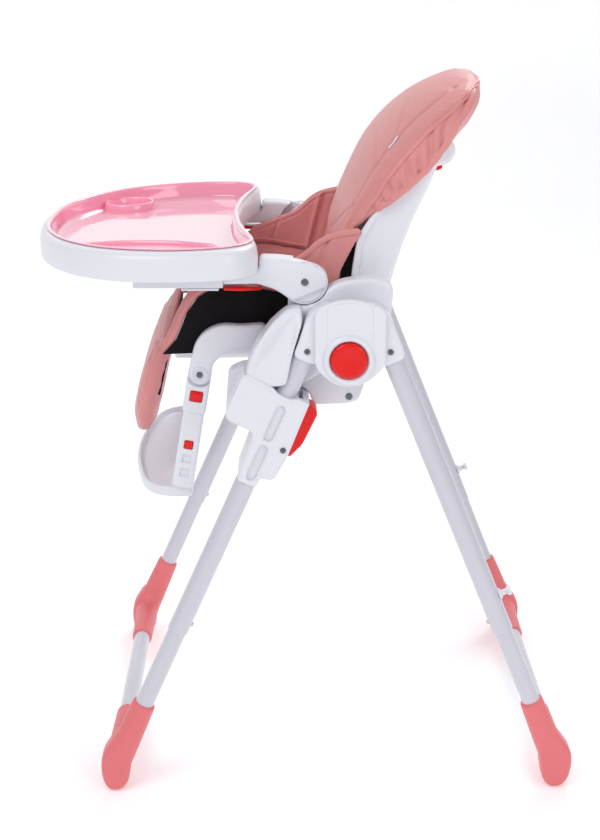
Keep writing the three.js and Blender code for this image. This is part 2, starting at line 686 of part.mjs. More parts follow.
// Half outlines, from the middle of the front edge round to the middle of the belly edge.
const TRAY_HALF = [
  [0, -397], [62, -394], [116, -385], [165, -369], [207, -347], [242, -320], [268, -290],
  [289, -253], [301, -213], [306, -170], [305, -132], [298, -102], [280, -81], [258, -71],
  [238, -68], [205, -70], [160, -82], [90, -92], [0, -97],
];
const INSERT_HALF = [
  [0, -383], [60, -380], [110, -370], [160, -351], [195, -330], [225, -303], [247, -274],
  [265, -235], [276, -197], [279, -163], [276, -132], [268, -106], [252, -86], [230, -77],
  [200, -80], [152, -89], [85, -99], [0, -104],
];

function wholeOutline(half, count) {
  const right = smoothLine(half, count);
  const left = mirrorX(right).slice(1, -1);
  return [...right, ...left];
}

const TRAY_OUTLINE = wholeOutline(TRAY_HALF, 20);
const INSERT_OUTLINE = wholeOutline(INSERT_HALF, 19);
const CUP = { x: -188, y: -284, radius: 37, wellZ: 802 };

// Tips a piece that was built level to the tray's slope, which falls towards the front.
function tipTray(solid) {
  return solid
    .translate([0, -TRAY.pivotY, -TRAY.rimZ])
    .rotate([TRAY.tilt, 0, 0])
    .translate([0, TRAY.pivotY, TRAY.rimZ]);
}

const trayDeckZ = TRAY.rimZ - TRAY.depth;
const skirtZ = TRAY.rimZ - TRAY.skirt;

function trayBody() {
  const wellOuter = new THREE.Vector3(CUP.x, CUP.y, CUP.wellZ - 8);
  const shell = cut(
    plateZ(TRAY_OUTLINE, skirtZ, TRAY.rimZ, 4),
    plateZ(inset(INSERT_OUTLINE, -GAP), trayDeckZ, TRAY.rimZ + 1),
    plateZ(inset(TRAY_OUTLINE, TRAY.wall), skirtZ - 1, trayDeckZ - 4),
  );
  const well = rod(wellOuter, wellOuter.clone().setZ(trayDeckZ - 1), CUP.radius + 3.5, CUP.radius + 3.5, 20);
  const wellHole = rod(
    new THREE.Vector3(CUP.x, CUP.y, CUP.wellZ - 5),
    new THREE.Vector3(CUP.x, CUP.y, TRAY.rimZ), CUP.radius + GAP, CUP.radius + GAP, 20);
  const armSlots = [box(202.5, 247.5, -110, -55, 770, 799), box(-247.5, -202.5, -110, -55, 770, 799)];
  return cut(join(shell, well), wellHole, ...armSlots);
}
addPart('tray_body', tipTray(trayBody()), 'white');

function trayInsert() {
  const floorZ = trayDeckZ + GAP;
  const inner = inset(INSERT_OUTLINE, INSERT.wall);
  const tub = cut(
    plateZ(INSERT_OUTLINE, floorZ, TRAY.rimZ + 1),
    plateZ(inner, floorZ + INSERT.floorThickness, TRAY.rimZ + 2),
  );
  const at = (z) => new THREE.Vector3(CUP.x, CUP.y, z);
  const cupWall = rod(at(CUP.wellZ - 4.5), at(TRAY.rimZ - 4), CUP.radius, CUP.radius, 20);
  const cupHole = rod(at(CUP.wellZ - 2), at(TRAY.rimZ + 2), CUP.radius - 3, CUP.radius - 3, 20);
  const divider = plateZ([
    [150, -128], [112, -200], [104, -280], [124, -352], [128, -351], [108.5, -280], [116.5, -200],
    [154, -128],
  ], floorZ + 1, floorZ + 9);
  return cut(join(tub, cupWall, divider), cupHole);
}
addPart('tray_insert', tipTray(trayInsert()), 'trayPink');

// Channels under the tray that slide along the armrests.
function trayRail() {
  const channel = cut(
    box(ARM.innerX - 4, ARM.outerX + 4, -240, -116, 770, skirtZ + 8),
    box(ARM.innerX - GAP, ARM.outerX + GAP, -236, -110, 775.4, skirtZ + 20),
  );
  const floorTrim = box(ARM.innerX - 6, ARM.outerX + 6, -252, -180, 765, 773.6);
  const deckClear = tipTray(box(150, 280, -300, -60, trayDeckZ - 4.3, 830));
  return cut(channel, floorTrim, deckClear);
}
addPair('tray_rail', trayRail(), 'white');
const RELEASE_OUTLINE = [[-115.5, 772], [-115.5, 768], [-90, 767], [-64, 768.5], [-62, 770], [-66, 771.5]];
addPair('tray_release_lever', plateX(RELEASE_OUTLINE, ARM.innerX + 6, ARM.outerX - 6, 0.8), 'red');

// ---------------------------------------------------------------- footrest

const FOOT_ARM_OUTLINE = [
  [-56, 712], [-90, 709], [-122, 711], [-144, 702], [-159, 684], [-165, 660], [-169, 640], [-166, 626],
  [-155, 620.2], [-144, 622.5], [-137, 631], [-134, 652], [-123, 663], [-106, 672], [-88, 674], [-56, 676],
];

const FOOT_EAR_X = 202.5;

function footrestArm() {
  const ear = discX(FOOT_PIVOT, FOOT_PIVOT.radius + 4, FOOT_LEG.innerX - 1, FOOT_EAR_X);
  const lowCut = plateX(
    [[-200, 600], [-120, 600], [-120, 634], [-200, 640]], FOOT_LEG.innerX - 1, FOOT_EAR_X);
  return cut(
    plateX(FOOT_ARM_OUTLINE, PAN_HALF + GAP, FOOT_LEG.outerX, 1.5),
    ear,
    lowCut,
    box(PAN_HALF, PIVOT_PLATE.innerX, -52, -40, 660, 704),
    discX(FOOT_PIVOT, PIN_RADIUS + GAP, 180, 215, 12),
  );
}
addPair('footrest_arm', footrestArm(), 'white');
const footScrew = pivotScrew(FOOT_PIVOT, FOOT_LEG.innerX + 2, FOOT_LEG.outerX + GAP, 210.5);
addPair('footrest_pivot_screw', footScrew, 'steel');

// Directions down along the swinging leg and across it, towards the front.
const LEG_DOWN = { y: -0.17, z: -0.985 };
const LEG_FRONT = { y: -0.985, z: 0.17 };

// A point of the footrest leg: `down` along it from the pivot and `front` across it.
function onLeg(down, front) {
  return [
    FOOT_PIVOT.y + LEG_DOWN.y * down + LEG_FRONT.y * front,
    FOOT_PIVOT.z + LEG_DOWN.z * down + LEG_FRONT.z * front,
  ];
}

const legPlate = (down0, down1, halfDepth, x0, x1) => plateX([
  onLeg(down0, -halfDepth), onLeg(down1, -halfDepth), onLeg(down1, halfDepth), onLeg(down0, halfDepth),
], x0, x1);

const SLEEVE = { upperHalf: 17, lowerHalf: 15.2, step: 60, end: 176 };
const TONGUE = { innerX: 190.5, outerX: 200, halfDepth: 11, top: 88 };
const SNAP = { down: 108, half: 6.5, pitch: 22, depthX: 204.6 };
const ANGLE_BUTTON = { down: 33, half: 7.7, halfDepth: 9 };

// Hangs from the seat's arm. A lug at the pivot, then a hollow sleeve with three windows.
function footrestLeg() {
  const body = join(
    discX(FOOT_PIVOT, FOOT_PIVOT.radius, FOOT_LEG.innerX, FOOT_EAR_X - GAP),
    legPlate(0, SLEEVE.step, SLEEVE.upperHalf, FOOT_LEG.innerX, FOOT_LEG.outerX),
    legPlate(SLEEVE.step - 1, SLEEVE.end, SLEEVE.lowerHalf, FOOT_LEG.innerX + 0.6, FOOT_LEG.outerX - 0.6),
  );
  const bore = legPlate(TONGUE.top - 2, SLEEVE.end + 1, TONGUE.halfDepth + GAP, TONGUE.innerX - GAP,
    TONGUE.outerX + GAP);
  const groove = legPlate(SNAP.down - 12, SLEEVE.end + 1, SNAP.half + 0.5, TONGUE.outerX, SNAP.depthX + GAP);
  const windows = [0, 1, 2].map((step) => legPlate(
    SNAP.down - 7 + step * SNAP.pitch, SNAP.down + 7 + step * SNAP.pitch, SNAP.half + 0.5,
    SNAP.depthX, FOOT_LEG.outerX + 1));
  return cut(
    body,
    bore,
    groove,
    ...windows,
    discX(FOOT_PIVOT, FOOT_PIVOT.radius + 2, FOOT_EAR_X - GAP, FOOT_LEG.outerX + 1),
    discX(FOOT_PIVOT, PIN_RADIUS + GAP, 180, 215, 12),
    legPlate(ANGLE_BUTTON.down - 8, ANGLE_BUTTON.down + 8, ANGLE_BUTTON.halfDepth + GAP, FOOT_EAR_X,
      FOOT_LEG.outerX + 1),
  );
}
addPair('footrest_leg', footrestLeg(), 'white');
addPair('footrest_angle_button', legPlate(ANGLE_BUTTON.down - ANGLE_BUTTON.half, ANGLE_BUTTON.down
  + ANGLE_BUTTON.half, ANGLE_BUTTON.halfDepth, FOOT_EAR_X + 2.5, FOOT_LEG.outerX + 0.5), 'red');
addPair('footplate_button', legPlate(SNAP.down - SNAP.half, SNAP.down + SNAP.half, SNAP.half,
  TONGUE.outerX - 2, SNAP.depthX), 'red');

const PLATE_HALF = [[0, -264], [60, -261], [115, -253], [160, -243], [188, -226], [199, -205], [200, -184]];
const FOOTPLATE = { rimZ: 460, bottomZ: 446, dishDepth: 9, rearY: -168 };

function footplateTongue() {
  const tongue = legPlate(TONGUE.top, SLEEVE.end + 14, TONGUE.halfDepth, TONGUE.innerX, TONGUE.outerX);
  const pocket = legPlate(
    SNAP.down - 7, SNAP.down + 7, SNAP.half + 0.5, TONGUE.outerX - 5.5, TONGUE.outerX + 1);
  return cut(tongue, pocket);
}

function footplate() {
  const right = smoothLine(PLATE_HALF, 10);
  const left = mirrorX(right).slice(0, -1);
  const outline = [...right, [200, FOOTPLATE.rearY], [-200, FOOTPLATE.rearY], ...left];
  const end = SLEEVE.end + GAP;
  const plate = cut(
    plateZ(outline, FOOTPLATE.bottomZ, FOOTPLATE.rimZ + 6),
    plateZ(inset(outline, 9), FOOTPLATE.rimZ - FOOTPLATE.dishDepth, FOOTPLATE.rimZ + 20),
    plateX([onLeg(end, 16), [-300, 462], [-300, 500], [-100, 500], onLeg(end, -60)], -260, 260),
  );
  const tongue = footplateTongue();
  return join(plate, tongue, tongue.mirror([1, 0, 0]));
}
addPart('footplate', footplate(), 'white');

export default chair;
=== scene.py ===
"""Looks of a folding baby high chair: moulded plastic, powder-coated tubes and a padded cover.

Lengths in this file are millimetres and become metres where a mesh is made. +X is the chair's
left, -Y is the side the tray is on, +Z is up, and the floor is at z = 0.
"""

import math

import bmesh
import bpy
import numpy as np
from mathutils import Matrix, Vector, noise
from mathutils.bvhtree import BVHTree


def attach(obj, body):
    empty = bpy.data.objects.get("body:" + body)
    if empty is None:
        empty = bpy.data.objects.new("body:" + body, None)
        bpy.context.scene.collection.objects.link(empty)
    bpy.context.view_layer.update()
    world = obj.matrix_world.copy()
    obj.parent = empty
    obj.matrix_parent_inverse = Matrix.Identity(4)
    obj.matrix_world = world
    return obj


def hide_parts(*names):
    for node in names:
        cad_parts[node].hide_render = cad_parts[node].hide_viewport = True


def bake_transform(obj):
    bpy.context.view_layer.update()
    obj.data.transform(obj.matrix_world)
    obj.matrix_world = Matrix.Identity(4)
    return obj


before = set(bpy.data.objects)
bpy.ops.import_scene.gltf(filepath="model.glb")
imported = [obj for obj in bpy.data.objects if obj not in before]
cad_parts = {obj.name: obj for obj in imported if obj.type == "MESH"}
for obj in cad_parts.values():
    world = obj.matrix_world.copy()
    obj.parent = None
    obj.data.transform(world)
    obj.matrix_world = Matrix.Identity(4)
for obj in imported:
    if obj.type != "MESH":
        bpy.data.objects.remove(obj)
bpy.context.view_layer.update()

MM = 0.001
FINE_VOXEL = 2.2
EDGE_STEPS = 4                          # rings in each rounded rim of a slab
SIDES = (("left", 1), ("right", -1))

# ---------------------------------------------------------------- camera

CAMERA_PLACE = (2.2542, -0.0407, 1.2444)
CAMERA_TURN = 0.0155                    # radians off the -X direction, seen from above
CAMERA_DIP = 0.3191                     # radians below the horizon

camera_data = bpy.data.cameras.new("camera")
camera_data.lens = 63.68
camera_data.sensor_width = 36
camera = bpy.data.objects.new("camera", camera_data)
bpy.context.scene.collection.objects.link(camera)
camera.location = CAMERA_PLACE
looking = Vector((-math.cos(CAMERA_TURN) * math.cos(CAMERA_DIP),
                  math.sin(CAMERA_TURN) * math.cos(CAMERA_DIP), -math.sin(CAMERA_DIP)))
camera.rotation_euler = looking.to_track_quat("-Z", "Y").to_euler()
bpy.context.scene.camera = camera

# ---------------------------------------------------------------- mesh helpers


def to_object(name, points, faces, angle=38):
    """A mesh piece from points in millimetres, with outward normals and smooth shading."""
    mesh = bpy.data.meshes.new(name)
    mesh.from_pydata([[c * MM for c in p] for p in points], [], faces)
    piece = bpy.data.objects.new(name, mesh)
    bpy.context.scene.collection.objects.link(piece)
    tidy(piece, angle)
    return piece


def tidy(piece, angle=38):
    """Merges doubled points, turns the normals outwards and smooths all but the crisp edges."""
    work = bmesh.new()
    work.from_mesh(piece.data)
    bmesh.ops.remove_doubles(work, verts=work.verts, dist=0.02 * MM)
    bmesh.ops.recalc_face_normals(work, faces=work.faces)
    work.to_mesh(piece.data)
    work.free()
    piece.data.shade_smooth()
    piece.data.set_sharp_from_angle(angle=math.radians(angle))


def apply_modifiers(piece):
    """Turns what a piece's modifiers make into its own mesh."""
    graph = bpy.context.evaluated_depsgraph_get()
    mesh = bpy.data.meshes.new_from_object(piece.evaluated_get(graph))
    piece.modifiers.clear()
    piece.data = mesh


def carve(piece, *cutters, angle=38):
    """Cuts the cutters out of a piece and deletes them."""
    for cutter in cutters:
        step = piece.modifiers.new("carve", "BOOLEAN")
        step.operation = "DIFFERENCE"
        step.solver = "EXACT"
        step.object = cutter
        apply_modifiers(piece)
        bpy.data.objects.remove(cutter)
    tidy(piece, angle)
    return piece


def join(name, *parts):
    """One piece from several closed bodies."""
    work = bmesh.new()
    for part in parts:
        part.data.transform(part.matrix_world)
        work.from_mesh(part.data)
        bpy.data.objects.remove(part)
    mesh = bpy.data.meshes.new(name)
    work.to_mesh(mesh)
    work.free()
    piece = bpy.data.objects.new(name, mesh)
    bpy.context.scene.collection.objects.link(piece)
    tidy(piece)
    return piece


def mirrored(piece, name):
    """The same piece for the chair's other side."""
    mesh = piece.data.copy()
    mesh.transform(Matrix.Diagonal((-1, 1, 1, 1)))
    mesh.flip_normals()
    other = bpy.data.objects.new(name, mesh)
    bpy.context.scene.collection.objects.link(other)
    return other


def subdivide(piece):
    """Smooths a piece by one level of subdivision."""
    step = piece.modifiers.new("subdivide", "SUBSURF")
    step.levels = 1
    apply_modifiers(piece)
    piece.data.shade_smooth()


def melt(piece, voxel, soften=0):
    """Fuses a piece's bodies into one skin, and rounds its corners by a few rounds of smoothing."""
    step = piece.modifiers.new("melt", "REMESH")
    step.mode = "VOXEL"
    step.voxel_size = voxel * MM
    if soften:
        step = piece.modifiers.new("soften", "SMOOTH")
        step.factor = 0.5
        step.iterations = soften
    apply_modifiers(piece)


def points_of(piece):
    """A piece's points, in millimetres."""
    flat = np.zeros(len(piece.data.vertices) * 3)
    piece.data.vertices.foreach_get("co", flat)
    return flat.reshape(-1, 3) / MM


def normals_of(piece):
    flat = np.zeros(len(piece.data.vertices) * 3, np.float32)
    piece.data.vertex_normals.foreach_get("vector", flat)
    return flat.reshape(-1, 3).astype(float)


def move_points(piece, points):
    piece.data.vertices.foreach_set("co", (points * MM).astype(np.float32).ravel())
    piece.data.update()


def inset(outline, distance):
    """A closed outline with every edge moved inwards (outwards if the distance is negative)."""
    count = len(outline)
    area = sum(outline[i - 1][0] * outline[i][1] - outline[i][0] * outline[i - 1][1] for i in range(count))
    turn = math.copysign(1, area)
    moved = []
    for i, here in enumerate(outline):
        here = Vector(here)
        before = (here - Vector(outline[i - 1])).normalized()
        after = (Vector(outline[(i + 1) % count]) - here).normalized()
        normal = Vector((-before.y - after.y, before.x + after.x)).normalized()
        share = max(0.5, normal.dot(Vector((-before.y, before.x))))
        moved.append(tuple(here + normal * (turn * distance / share)))
    return moved


def rounded(outline, radius, steps=5):
    """A closed outline with each corner turned into a curve that starts `radius` before it."""
    count = len(outline)
    result = []
    for i, corner in enumerate(outline):
        corner = Vector(corner)
        back = Vector(outline[i - 1]) - corner
        ahead = Vector(outline[(i + 1) % count]) - corner
        reach = min(radius, 0.48 * back.length, 0.48 * ahead.length)
        start = corner + back.normalized() * reach
        end = corner + ahead.normalized() * reach
        for k in range(steps + 1):
            t = k / steps
            result.append(tuple(start * (1 - t) ** 2 + corner * (2 * t * (1 - t)) + end * t ** 2))
    return result


def smooth_line(points, count):
    """Evenly spaced points on a Catmull-Rom curve through a few points."""
    points = [np.array(p, float) for p in points]
    padded = [2 * points[0] - points[1], *points, 2 * points[-1] - points[-2]]
    dense = []
    for i in range(1, len(padded) - 2):
        a, b, c, d = padded[i - 1:i + 3]
        for t in np.arange(0, 1, 0.05):
            dense.append(0.5 * (2 * b + (c - a) * t + (2 * a - 5 * b + 4 * c - d) * t ** 2
                                + (3 * b - a - 3 * c + d) * t ** 3))
    dense.append(points[-1])
    dense = np.array(dense)
    run = np.concatenate([[0], np.cumsum(np.linalg.norm(np.diff(dense, axis=0), axis=1))])
    marks = np.linspace(0, run[-1], count)
    return np.column_stack([np.interp(marks, run, dense[:, k]) for k in range(dense.shape[1])])


def place(flat, depth, axis):
    """A point of an outline, put at a depth along the axis it is extruded along."""
    a, b = flat
    return {"x": (depth, a, b), "y": (a, depth, b), "z": (a, b, depth)}[axis]


def loft(name, rings, angle=38, ends=True):
    """A body through closed rings of points, capped at both ends."""
    count = len(rings[0])
    points = [p for ring in rings for p in ring]
    faces = []
    for r in range(len(rings) - 1):
        for i in range(count):
            j = (i + 1) % count
            faces.append((r * count + i, r * count + j, (r + 1) * count + j, (r + 1) * count + i))
    if ends:
        faces.append(tuple(range(count)))
        faces.append(tuple(range(len(points) - 1, len(points) - 1 - count, -1)))
    return to_object(name, points, faces, angle)


def slab(name, outline, low, high, axis="x", radius=8, edge=2.0, low_edge=None):
    """A moulded plate: an outline with rounded corners, extruded, with both rims rounded over."""
    rings = []
    low_edge = edge if low_edge is None else low_edge

    def ring(distance, depth):
        flat = rounded(inset(outline, distance), max(radius - distance, 0.4))
        rings.append([place(p, depth, axis) for p in flat])

    ring(low_edge + 0.8, low)
    for k in range(EDGE_STEPS + 1):
        turn = math.pi / 2 * k / EDGE_STEPS
        ring(low_edge * (1 - math.sin(turn)), low + low_edge * (1 - math.cos(turn)))
    for k in range(EDGE_STEPS, -1, -1):
        turn = math.pi / 2 * k / EDGE_STEPS
        ring(edge * (1 - math.sin(turn)), high - edge * (1 - math.cos(turn)))
    ring(edge + 0.8, high)
    return loft(name, rings)


def lathe(name, profile, centre, direction, count=48, closed=False):
    """Turns a profile of (radius, distance along the direction) about an axis through the centre."""
    direction = Vector(direction).normalized()
    side = direction.orthogonal().normalized()
    up = direction.cross(side)
    rings = []
    for radius, along in profile:
        middle = Vector(centre) + direction * along
        rings.append([tuple(middle + (side * math.cos(a) + up * math.sin(a)) * max(radius, 0.01))
                      for a in (2 * math.pi * i / count for i in range(count))])
    if closed:
        rings.append(rings[0])
    return loft(name, rings, ends=not closed)


def sweep(name, path, radius, sides=20, squash=1.0, up=None):
    """A round (or flattened) bar along a path. The radius is one number, or one for each point."""
    path = [Vector(p) for p in path]
    radii = radius if isinstance(radius, (list, tuple)) else [radius] * len(path)
    first = (path[1] - path[0]).normalized()
    normal = (Vector(up) if up else first.orthogonal()).normalized()
    rings = []
    for i, here in enumerate(path):
        before = path[max(i - 1, 0)]
        after = path[min(i + 1, len(path) - 1)]
        along = (after - before).normalized()
        normal = (normal - along * normal.dot(along)).normalized()
        other = along.cross(normal)
        rings.append([tuple(here + (normal * math.cos(a) * squash + other * math.sin(a)) * radii[i])
                      for a in (2 * math.pi * k / sides for k in range(sides))])
    return loft(name, rings)


def turned(name, profile, centre, count=48, closed=False):
    """A lathe about an axis along X through a (y, z) point."""
    return lathe(name, profile, (0, *centre), (1, 0, 0), count, closed=closed)


def disc(name, centre, radius, low, high, edge=1.0):
    """A flat round along X with softened rims, centred on a (y, z) point."""
    profile = [(radius - edge - 0.6, low), (radius - edge, low), (radius - edge * 0.3, low + edge * 0.3),
               (radius, low + edge), (radius, high - edge), (radius - edge * 0.3, high - edge * 0.3),
               (radius - edge, high), (radius - edge - 0.6, high)]
    return turned(name, profile, centre)


# ---------------------------------------------------------------- materials


def linear(red, green, blue):
    """A colour as 0 to 255 screen values, as the linear values that a shader takes."""
    return tuple(((c / 255 + 0.055) / 1.055) ** 2.4 if c > 10 else c / 255 / 12.92
                 for c in (red, green, blue)) + (1,)


def surface(name, colour, roughness, vary=0.04, grain=900, bump=0.05, depth=0.2, **sockets):
    """A material with a slightly cloudy colour, uneven gloss and a fine surface grain."""
    material = bpy.data.materials.new(name)
    material.use_nodes = True
    nodes = material.node_tree.nodes
    links = material.node_tree.links
    shader = nodes["Principled BSDF"]
    for key, value in sockets.items():
        shader.inputs[key.replace("_", " ")].default_value = value
    place_node = nodes.new("ShaderNodeTexCoord")
    cloud = nodes.new("ShaderNodeTexNoise")
    cloud.inputs["Scale"].default_value = 9
    cloud.inputs["Detail"].default_value = 5
    links.new(place_node.outputs["Object"], cloud.inputs["Vector"])
    tone = nodes.new("ShaderNodeMix")
    tone.data_type = "RGBA"
    full = linear(*colour)
    tone.inputs["A"].default_value = tuple(c * (1 - vary) for c in full[:3]) + (1,)
    tone.inputs["B"].default_value = tuple(min(1, c * (1 + vary)) for c in full[:3]) + (1,)
    links.new(cloud.outputs["Fac"], tone.inputs["Factor"])
    links.new(tone.outputs["Result"], shader.inputs["Base Color"])
    gloss = nodes.new("ShaderNodeMapRange")
    gloss.inputs["To Min"].default_value = roughness * 0.85
    gloss.inputs["To Max"].default_value = roughness * 1.15
    links.new(cloud.outputs["Fac"], gloss.inputs["Value"])
    links.new(gloss.outputs["Result"], shader.inputs["Roughness"])
    fine = nodes.new("ShaderNodeTexNoise")
    fine.inputs["Scale"].default_value = grain
    fine.inputs["Detail"].default_value = 3
    links.new(place_node.outputs["Object"], fine.inputs["Vector"])
    relief = nodes.new("ShaderNodeBump")
    relief.inputs["Strength"].default_value = bump
    relief.inputs["Distance"].default_value = depth * MM
    links.new(fine.outputs["Fac"], relief.inputs["Height"])
    links.new(relief.outputs["Normal"], shader.inputs["Normal"])
    return material


def add_relief(material, height, strength, depth):
    """A second layer of relief over a material's own grain."""
    nodes = material.node_tree.nodes
    links = material.node_tree.links
    relief = nodes.new("ShaderNodeBump")
    relief.inputs["Strength"].default_value = strength
    relief.inputs["Distance"].default_value = depth * MM
    links.new(height, relief.inputs["Height"])
    links.new(nodes["Bump"].outputs["Normal"], relief.inputs["Normal"])
    links.new(relief.outputs["Normal"], nodes["Principled BSDF"].inputs["Normal"])


def leatherette(name, colour, roughness):
    """Coated fabric: pebbled grain of two sizes over a soft, slightly mottled colour."""
    material = surface(name, colour, roughness, vary=0.07, grain=420, bump=0.25, depth=0.35,
                       Sheen_Weight=0.12, Sheen_Roughness=0.4, Specular_IOR_Level=0.42)
    nodes = material.node_tree.nodes
    pebbles = nodes.new("ShaderNodeTexVoronoi")
    pebbles.inputs["Scale"].default_value = 850
    material.node_tree.links.new(nodes["Texture Coordinate"].outputs["Object"], pebbles.inputs["Vector"])
    add_relief(material, pebbles.outputs["Distance"], 0.35, 0.3)
    return material


def woven(name, colour, roughness):
    """Open mesh fabric: two crossed sets of threads that darken and dent between each other."""
    material = surface(name, colour, roughness, vary=0.3, grain=700, bump=0.4, depth=0.4,
                       Sheen_Weight=0.05, Specular_IOR_Level=0.2)
    nodes = material.node_tree.nodes
    links = material.node_tree.links
    threads = []
    for direction in ("Y", "Z"):
        wave = nodes.new("ShaderNodeTexWave")
        wave.bands_direction = direction
        wave.inputs["Scale"].default_value = 150
        wave.inputs["Distortion"].default_value = 0.6
        links.new(nodes["Texture Coordinate"].outputs["Object"], wave.inputs["Vector"])
        threads.append(wave.outputs["Fac"])
    crossing = nodes.new("ShaderNodeMath")
    crossing.operation = "MULTIPLY"
    for i, output in enumerate(threads):
        links.new(output, crossing.inputs[i])
    add_relief(material, crossing.outputs["Value"], 0.6, 0.5)
    return material


WHITE = surface("moulded_white", (226, 226, 233), 0.36, vary=0.015, grain=700, bump=0.06,
                Coat_Weight=0.15, Coat_Roughness=0.25)
TUBE = surface("powder_coat", (204, 203, 212), 0.3, vary=0.03, grain=1400, bump=0.12, depth=0.15,
               Metallic=0.15, Coat_Weight=0.4, Coat_Roughness=0.2)
PINK_SOFT = surface("soft_pink_plastic", (228, 116, 120), 0.45, vary=0.04, grain=900, bump=0.12,
                    Subsurface_Weight=0.08, Subsurface_Radius=(0.01, 0.005, 0.004))


def clear_pink(name):
    """Thin clear pink plastic over white, with painted top light: surfaces that face up are blended to a
    paler pink, upright ones keep the deeper pink.
    """
    material = surface(name, (253, 164, 190), 0.1, vary=0.02, grain=300, bump=0.02, Coat_Weight=0.8,
                       Coat_Roughness=0.04)
    nodes = material.node_tree.nodes
    links = material.node_tree.links
    split = nodes.new("ShaderNodeSeparateXYZ")
    links.new(nodes["Texture Coordinate"].outputs["Normal"], split.inputs["Vector"])
    # Painted top light: the more a surface faces up, the further its pink is blended to the paler one.
    flat = nodes.new("ShaderNodeMapRange")
    flat.inputs["From Min"].default_value = 0.75
    flat.inputs["From Max"].default_value = 0.99
    links.new(split.outputs["Z"], flat.inputs["Value"])
    top_light_mix = nodes.new("ShaderNodeMix")
    top_light_mix.data_type = "RGBA"
    links.new(flat.outputs["Result"], top_light_mix.inputs["Factor"])
    links.new(nodes["Mix"].outputs["Result"], top_light_mix.inputs["A"])
    top_light_mix.inputs["B"].default_value = linear(246, 203, 214)
    links.new(top_light_mix.outputs["Result"], nodes["Principled BSDF"].inputs["Base Color"])
    return material


PINK_GLOSS = clear_pink("glossy_pink_tray")
RED = surface("gloss_red", (228, 8, 1), 0.3, vary=0.03, grain=800, bump=0.05,
              Coat_Weight=0.15, Coat_Roughness=0.15, Specular_IOR_Level=0.35)
CHROME = surface("dark_chrome", (120, 122, 130), 0.25, vary=0.1, grain=1500, bump=0.05, Metallic=1.0)
PIN_STEEL = surface("bright_pin", (200, 202, 210), 0.25, vary=0.05, grain=1500, bump=0.05, Metallic=0.8)
RUBBER = surface("white_rubber", (222, 222, 226), 0.6, vary=0.04, grain=900, bump=0.15)
LEATHER = leatherette("pink_leatherette", (216, 140, 138), 0.42)
PIPING = leatherette("pink_piping", (218, 142, 139), 0.36)
LINING = woven("black_mesh_lining", (13, 9, 13), 0.8)
THREAD = surface("pink_thread", (236, 176, 172), 0.5, vary=0.1, grain=2500, bump=0.4)
# Flat near-black colour used as painted shade at the bottom of the fold button's bore.
PAINTED_SHADE = surface("shadow_black", (24, 22, 26), 0.6, vary=0.1, grain=600, bump=0.2)


def dress(piece, material, body, *nodes):
    """Gives a piece its material and its body, and hides the CAD nodes it stands for."""
    piece.data.materials.clear()
    piece.data.materials.append(material)
    if body:
        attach(piece, body)
    if nodes:
        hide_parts(*nodes)
    return piece


def dress_pair(piece, material, bodies, node=None):
    """Dresses a left piece and its mirror image. `bodies` is one body, or left and right ones."""
    left_body, right_body = bodies if isinstance(bodies, tuple) else (bodies, bodies)
    other = mirrored(piece, piece.name.replace("_left", "_right"))
    nodes = [f"{node}_left"] if node else []
    other_nodes = [f"{node}_right"] if node else []
    dress(piece, material, left_body, *nodes)
    dress(other, material, right_body, *other_nodes)
    return piece, other


# ---------------------------------------------------------------- legs

LEG_X = 265
PIVOT = (57, 682)                       # (y, z) of each axis that runs along X
ARM_PIVOT = (-3, 781)
FOOT_PIVOT = (-153, 637)
RECLINE_PIVOT = (61, 609)
FRONT_LEG = {"y": -100, "z": 467, "slope": 0.441, "seam": 261, "body": "front_frame"}
REAR_LEG = {"y": 145, "z": 616, "slope": -0.407, "seam": 257, "body": "rear_legs"}
LEG_TOP = 738
UPPER_RADIUS = 15.25
BASE_RADIUS = 13.7
BEND = 45
CROSSBAR_Z = 50
FOOT_CAP_TOP = 142
SNAP_PIN_Z = 277
TRAY_HOOK_Z = 311


def leg_point(leg, z):
    """The point on the axis of a left leg at a height."""
    return Vector((LEG_X, leg["y"] + leg["slope"] * (z - leg["z"]), z))


def leg_up(leg):
    """The direction up a leg."""
    return Vector((0, leg["slope"], 1)).normalized()


def upper_tube(leg, name):
    """The upper tube, with its lower rim rolled in round the base tube."""
    low = leg_point(leg, leg["seam"])
    up = leg_up(leg)
    top = leg_point(leg, LEG_TOP)
    path = [low, low + up * 0.3, low + up * 1.2, low + up * 3, low + (top - low) * 0.5, top]
    radii = [BASE_RADIUS + 0.2, UPPER_RADIUS - 0.5, UPPER_RADIUS, UPPER_RADIUS, UPPER_RADIUS, UPPER_RADIUS]
    return sweep(name, path, radii, sides=36)


def base_path(leg):
    """Up the left arm from the crossbar's middle: half of the U that joins the two legs."""
    corner = leg_point(leg, CROSSBAR_Z)
    up = leg_up(leg)
    inward = Vector((-1, 0, 0))
    centre = corner + (up + inward) * BEND
    half = [leg_point(leg, leg["seam"] + 40)]
    for k in range(13):
        turn = math.pi / 2 * k / 12
        half.append(centre - inward * (BEND * math.cos(turn)) - up * (BEND * math.sin(turn)))
    return half + [Vector((-p.x, p.y, p.z)) for p in reversed(half)]


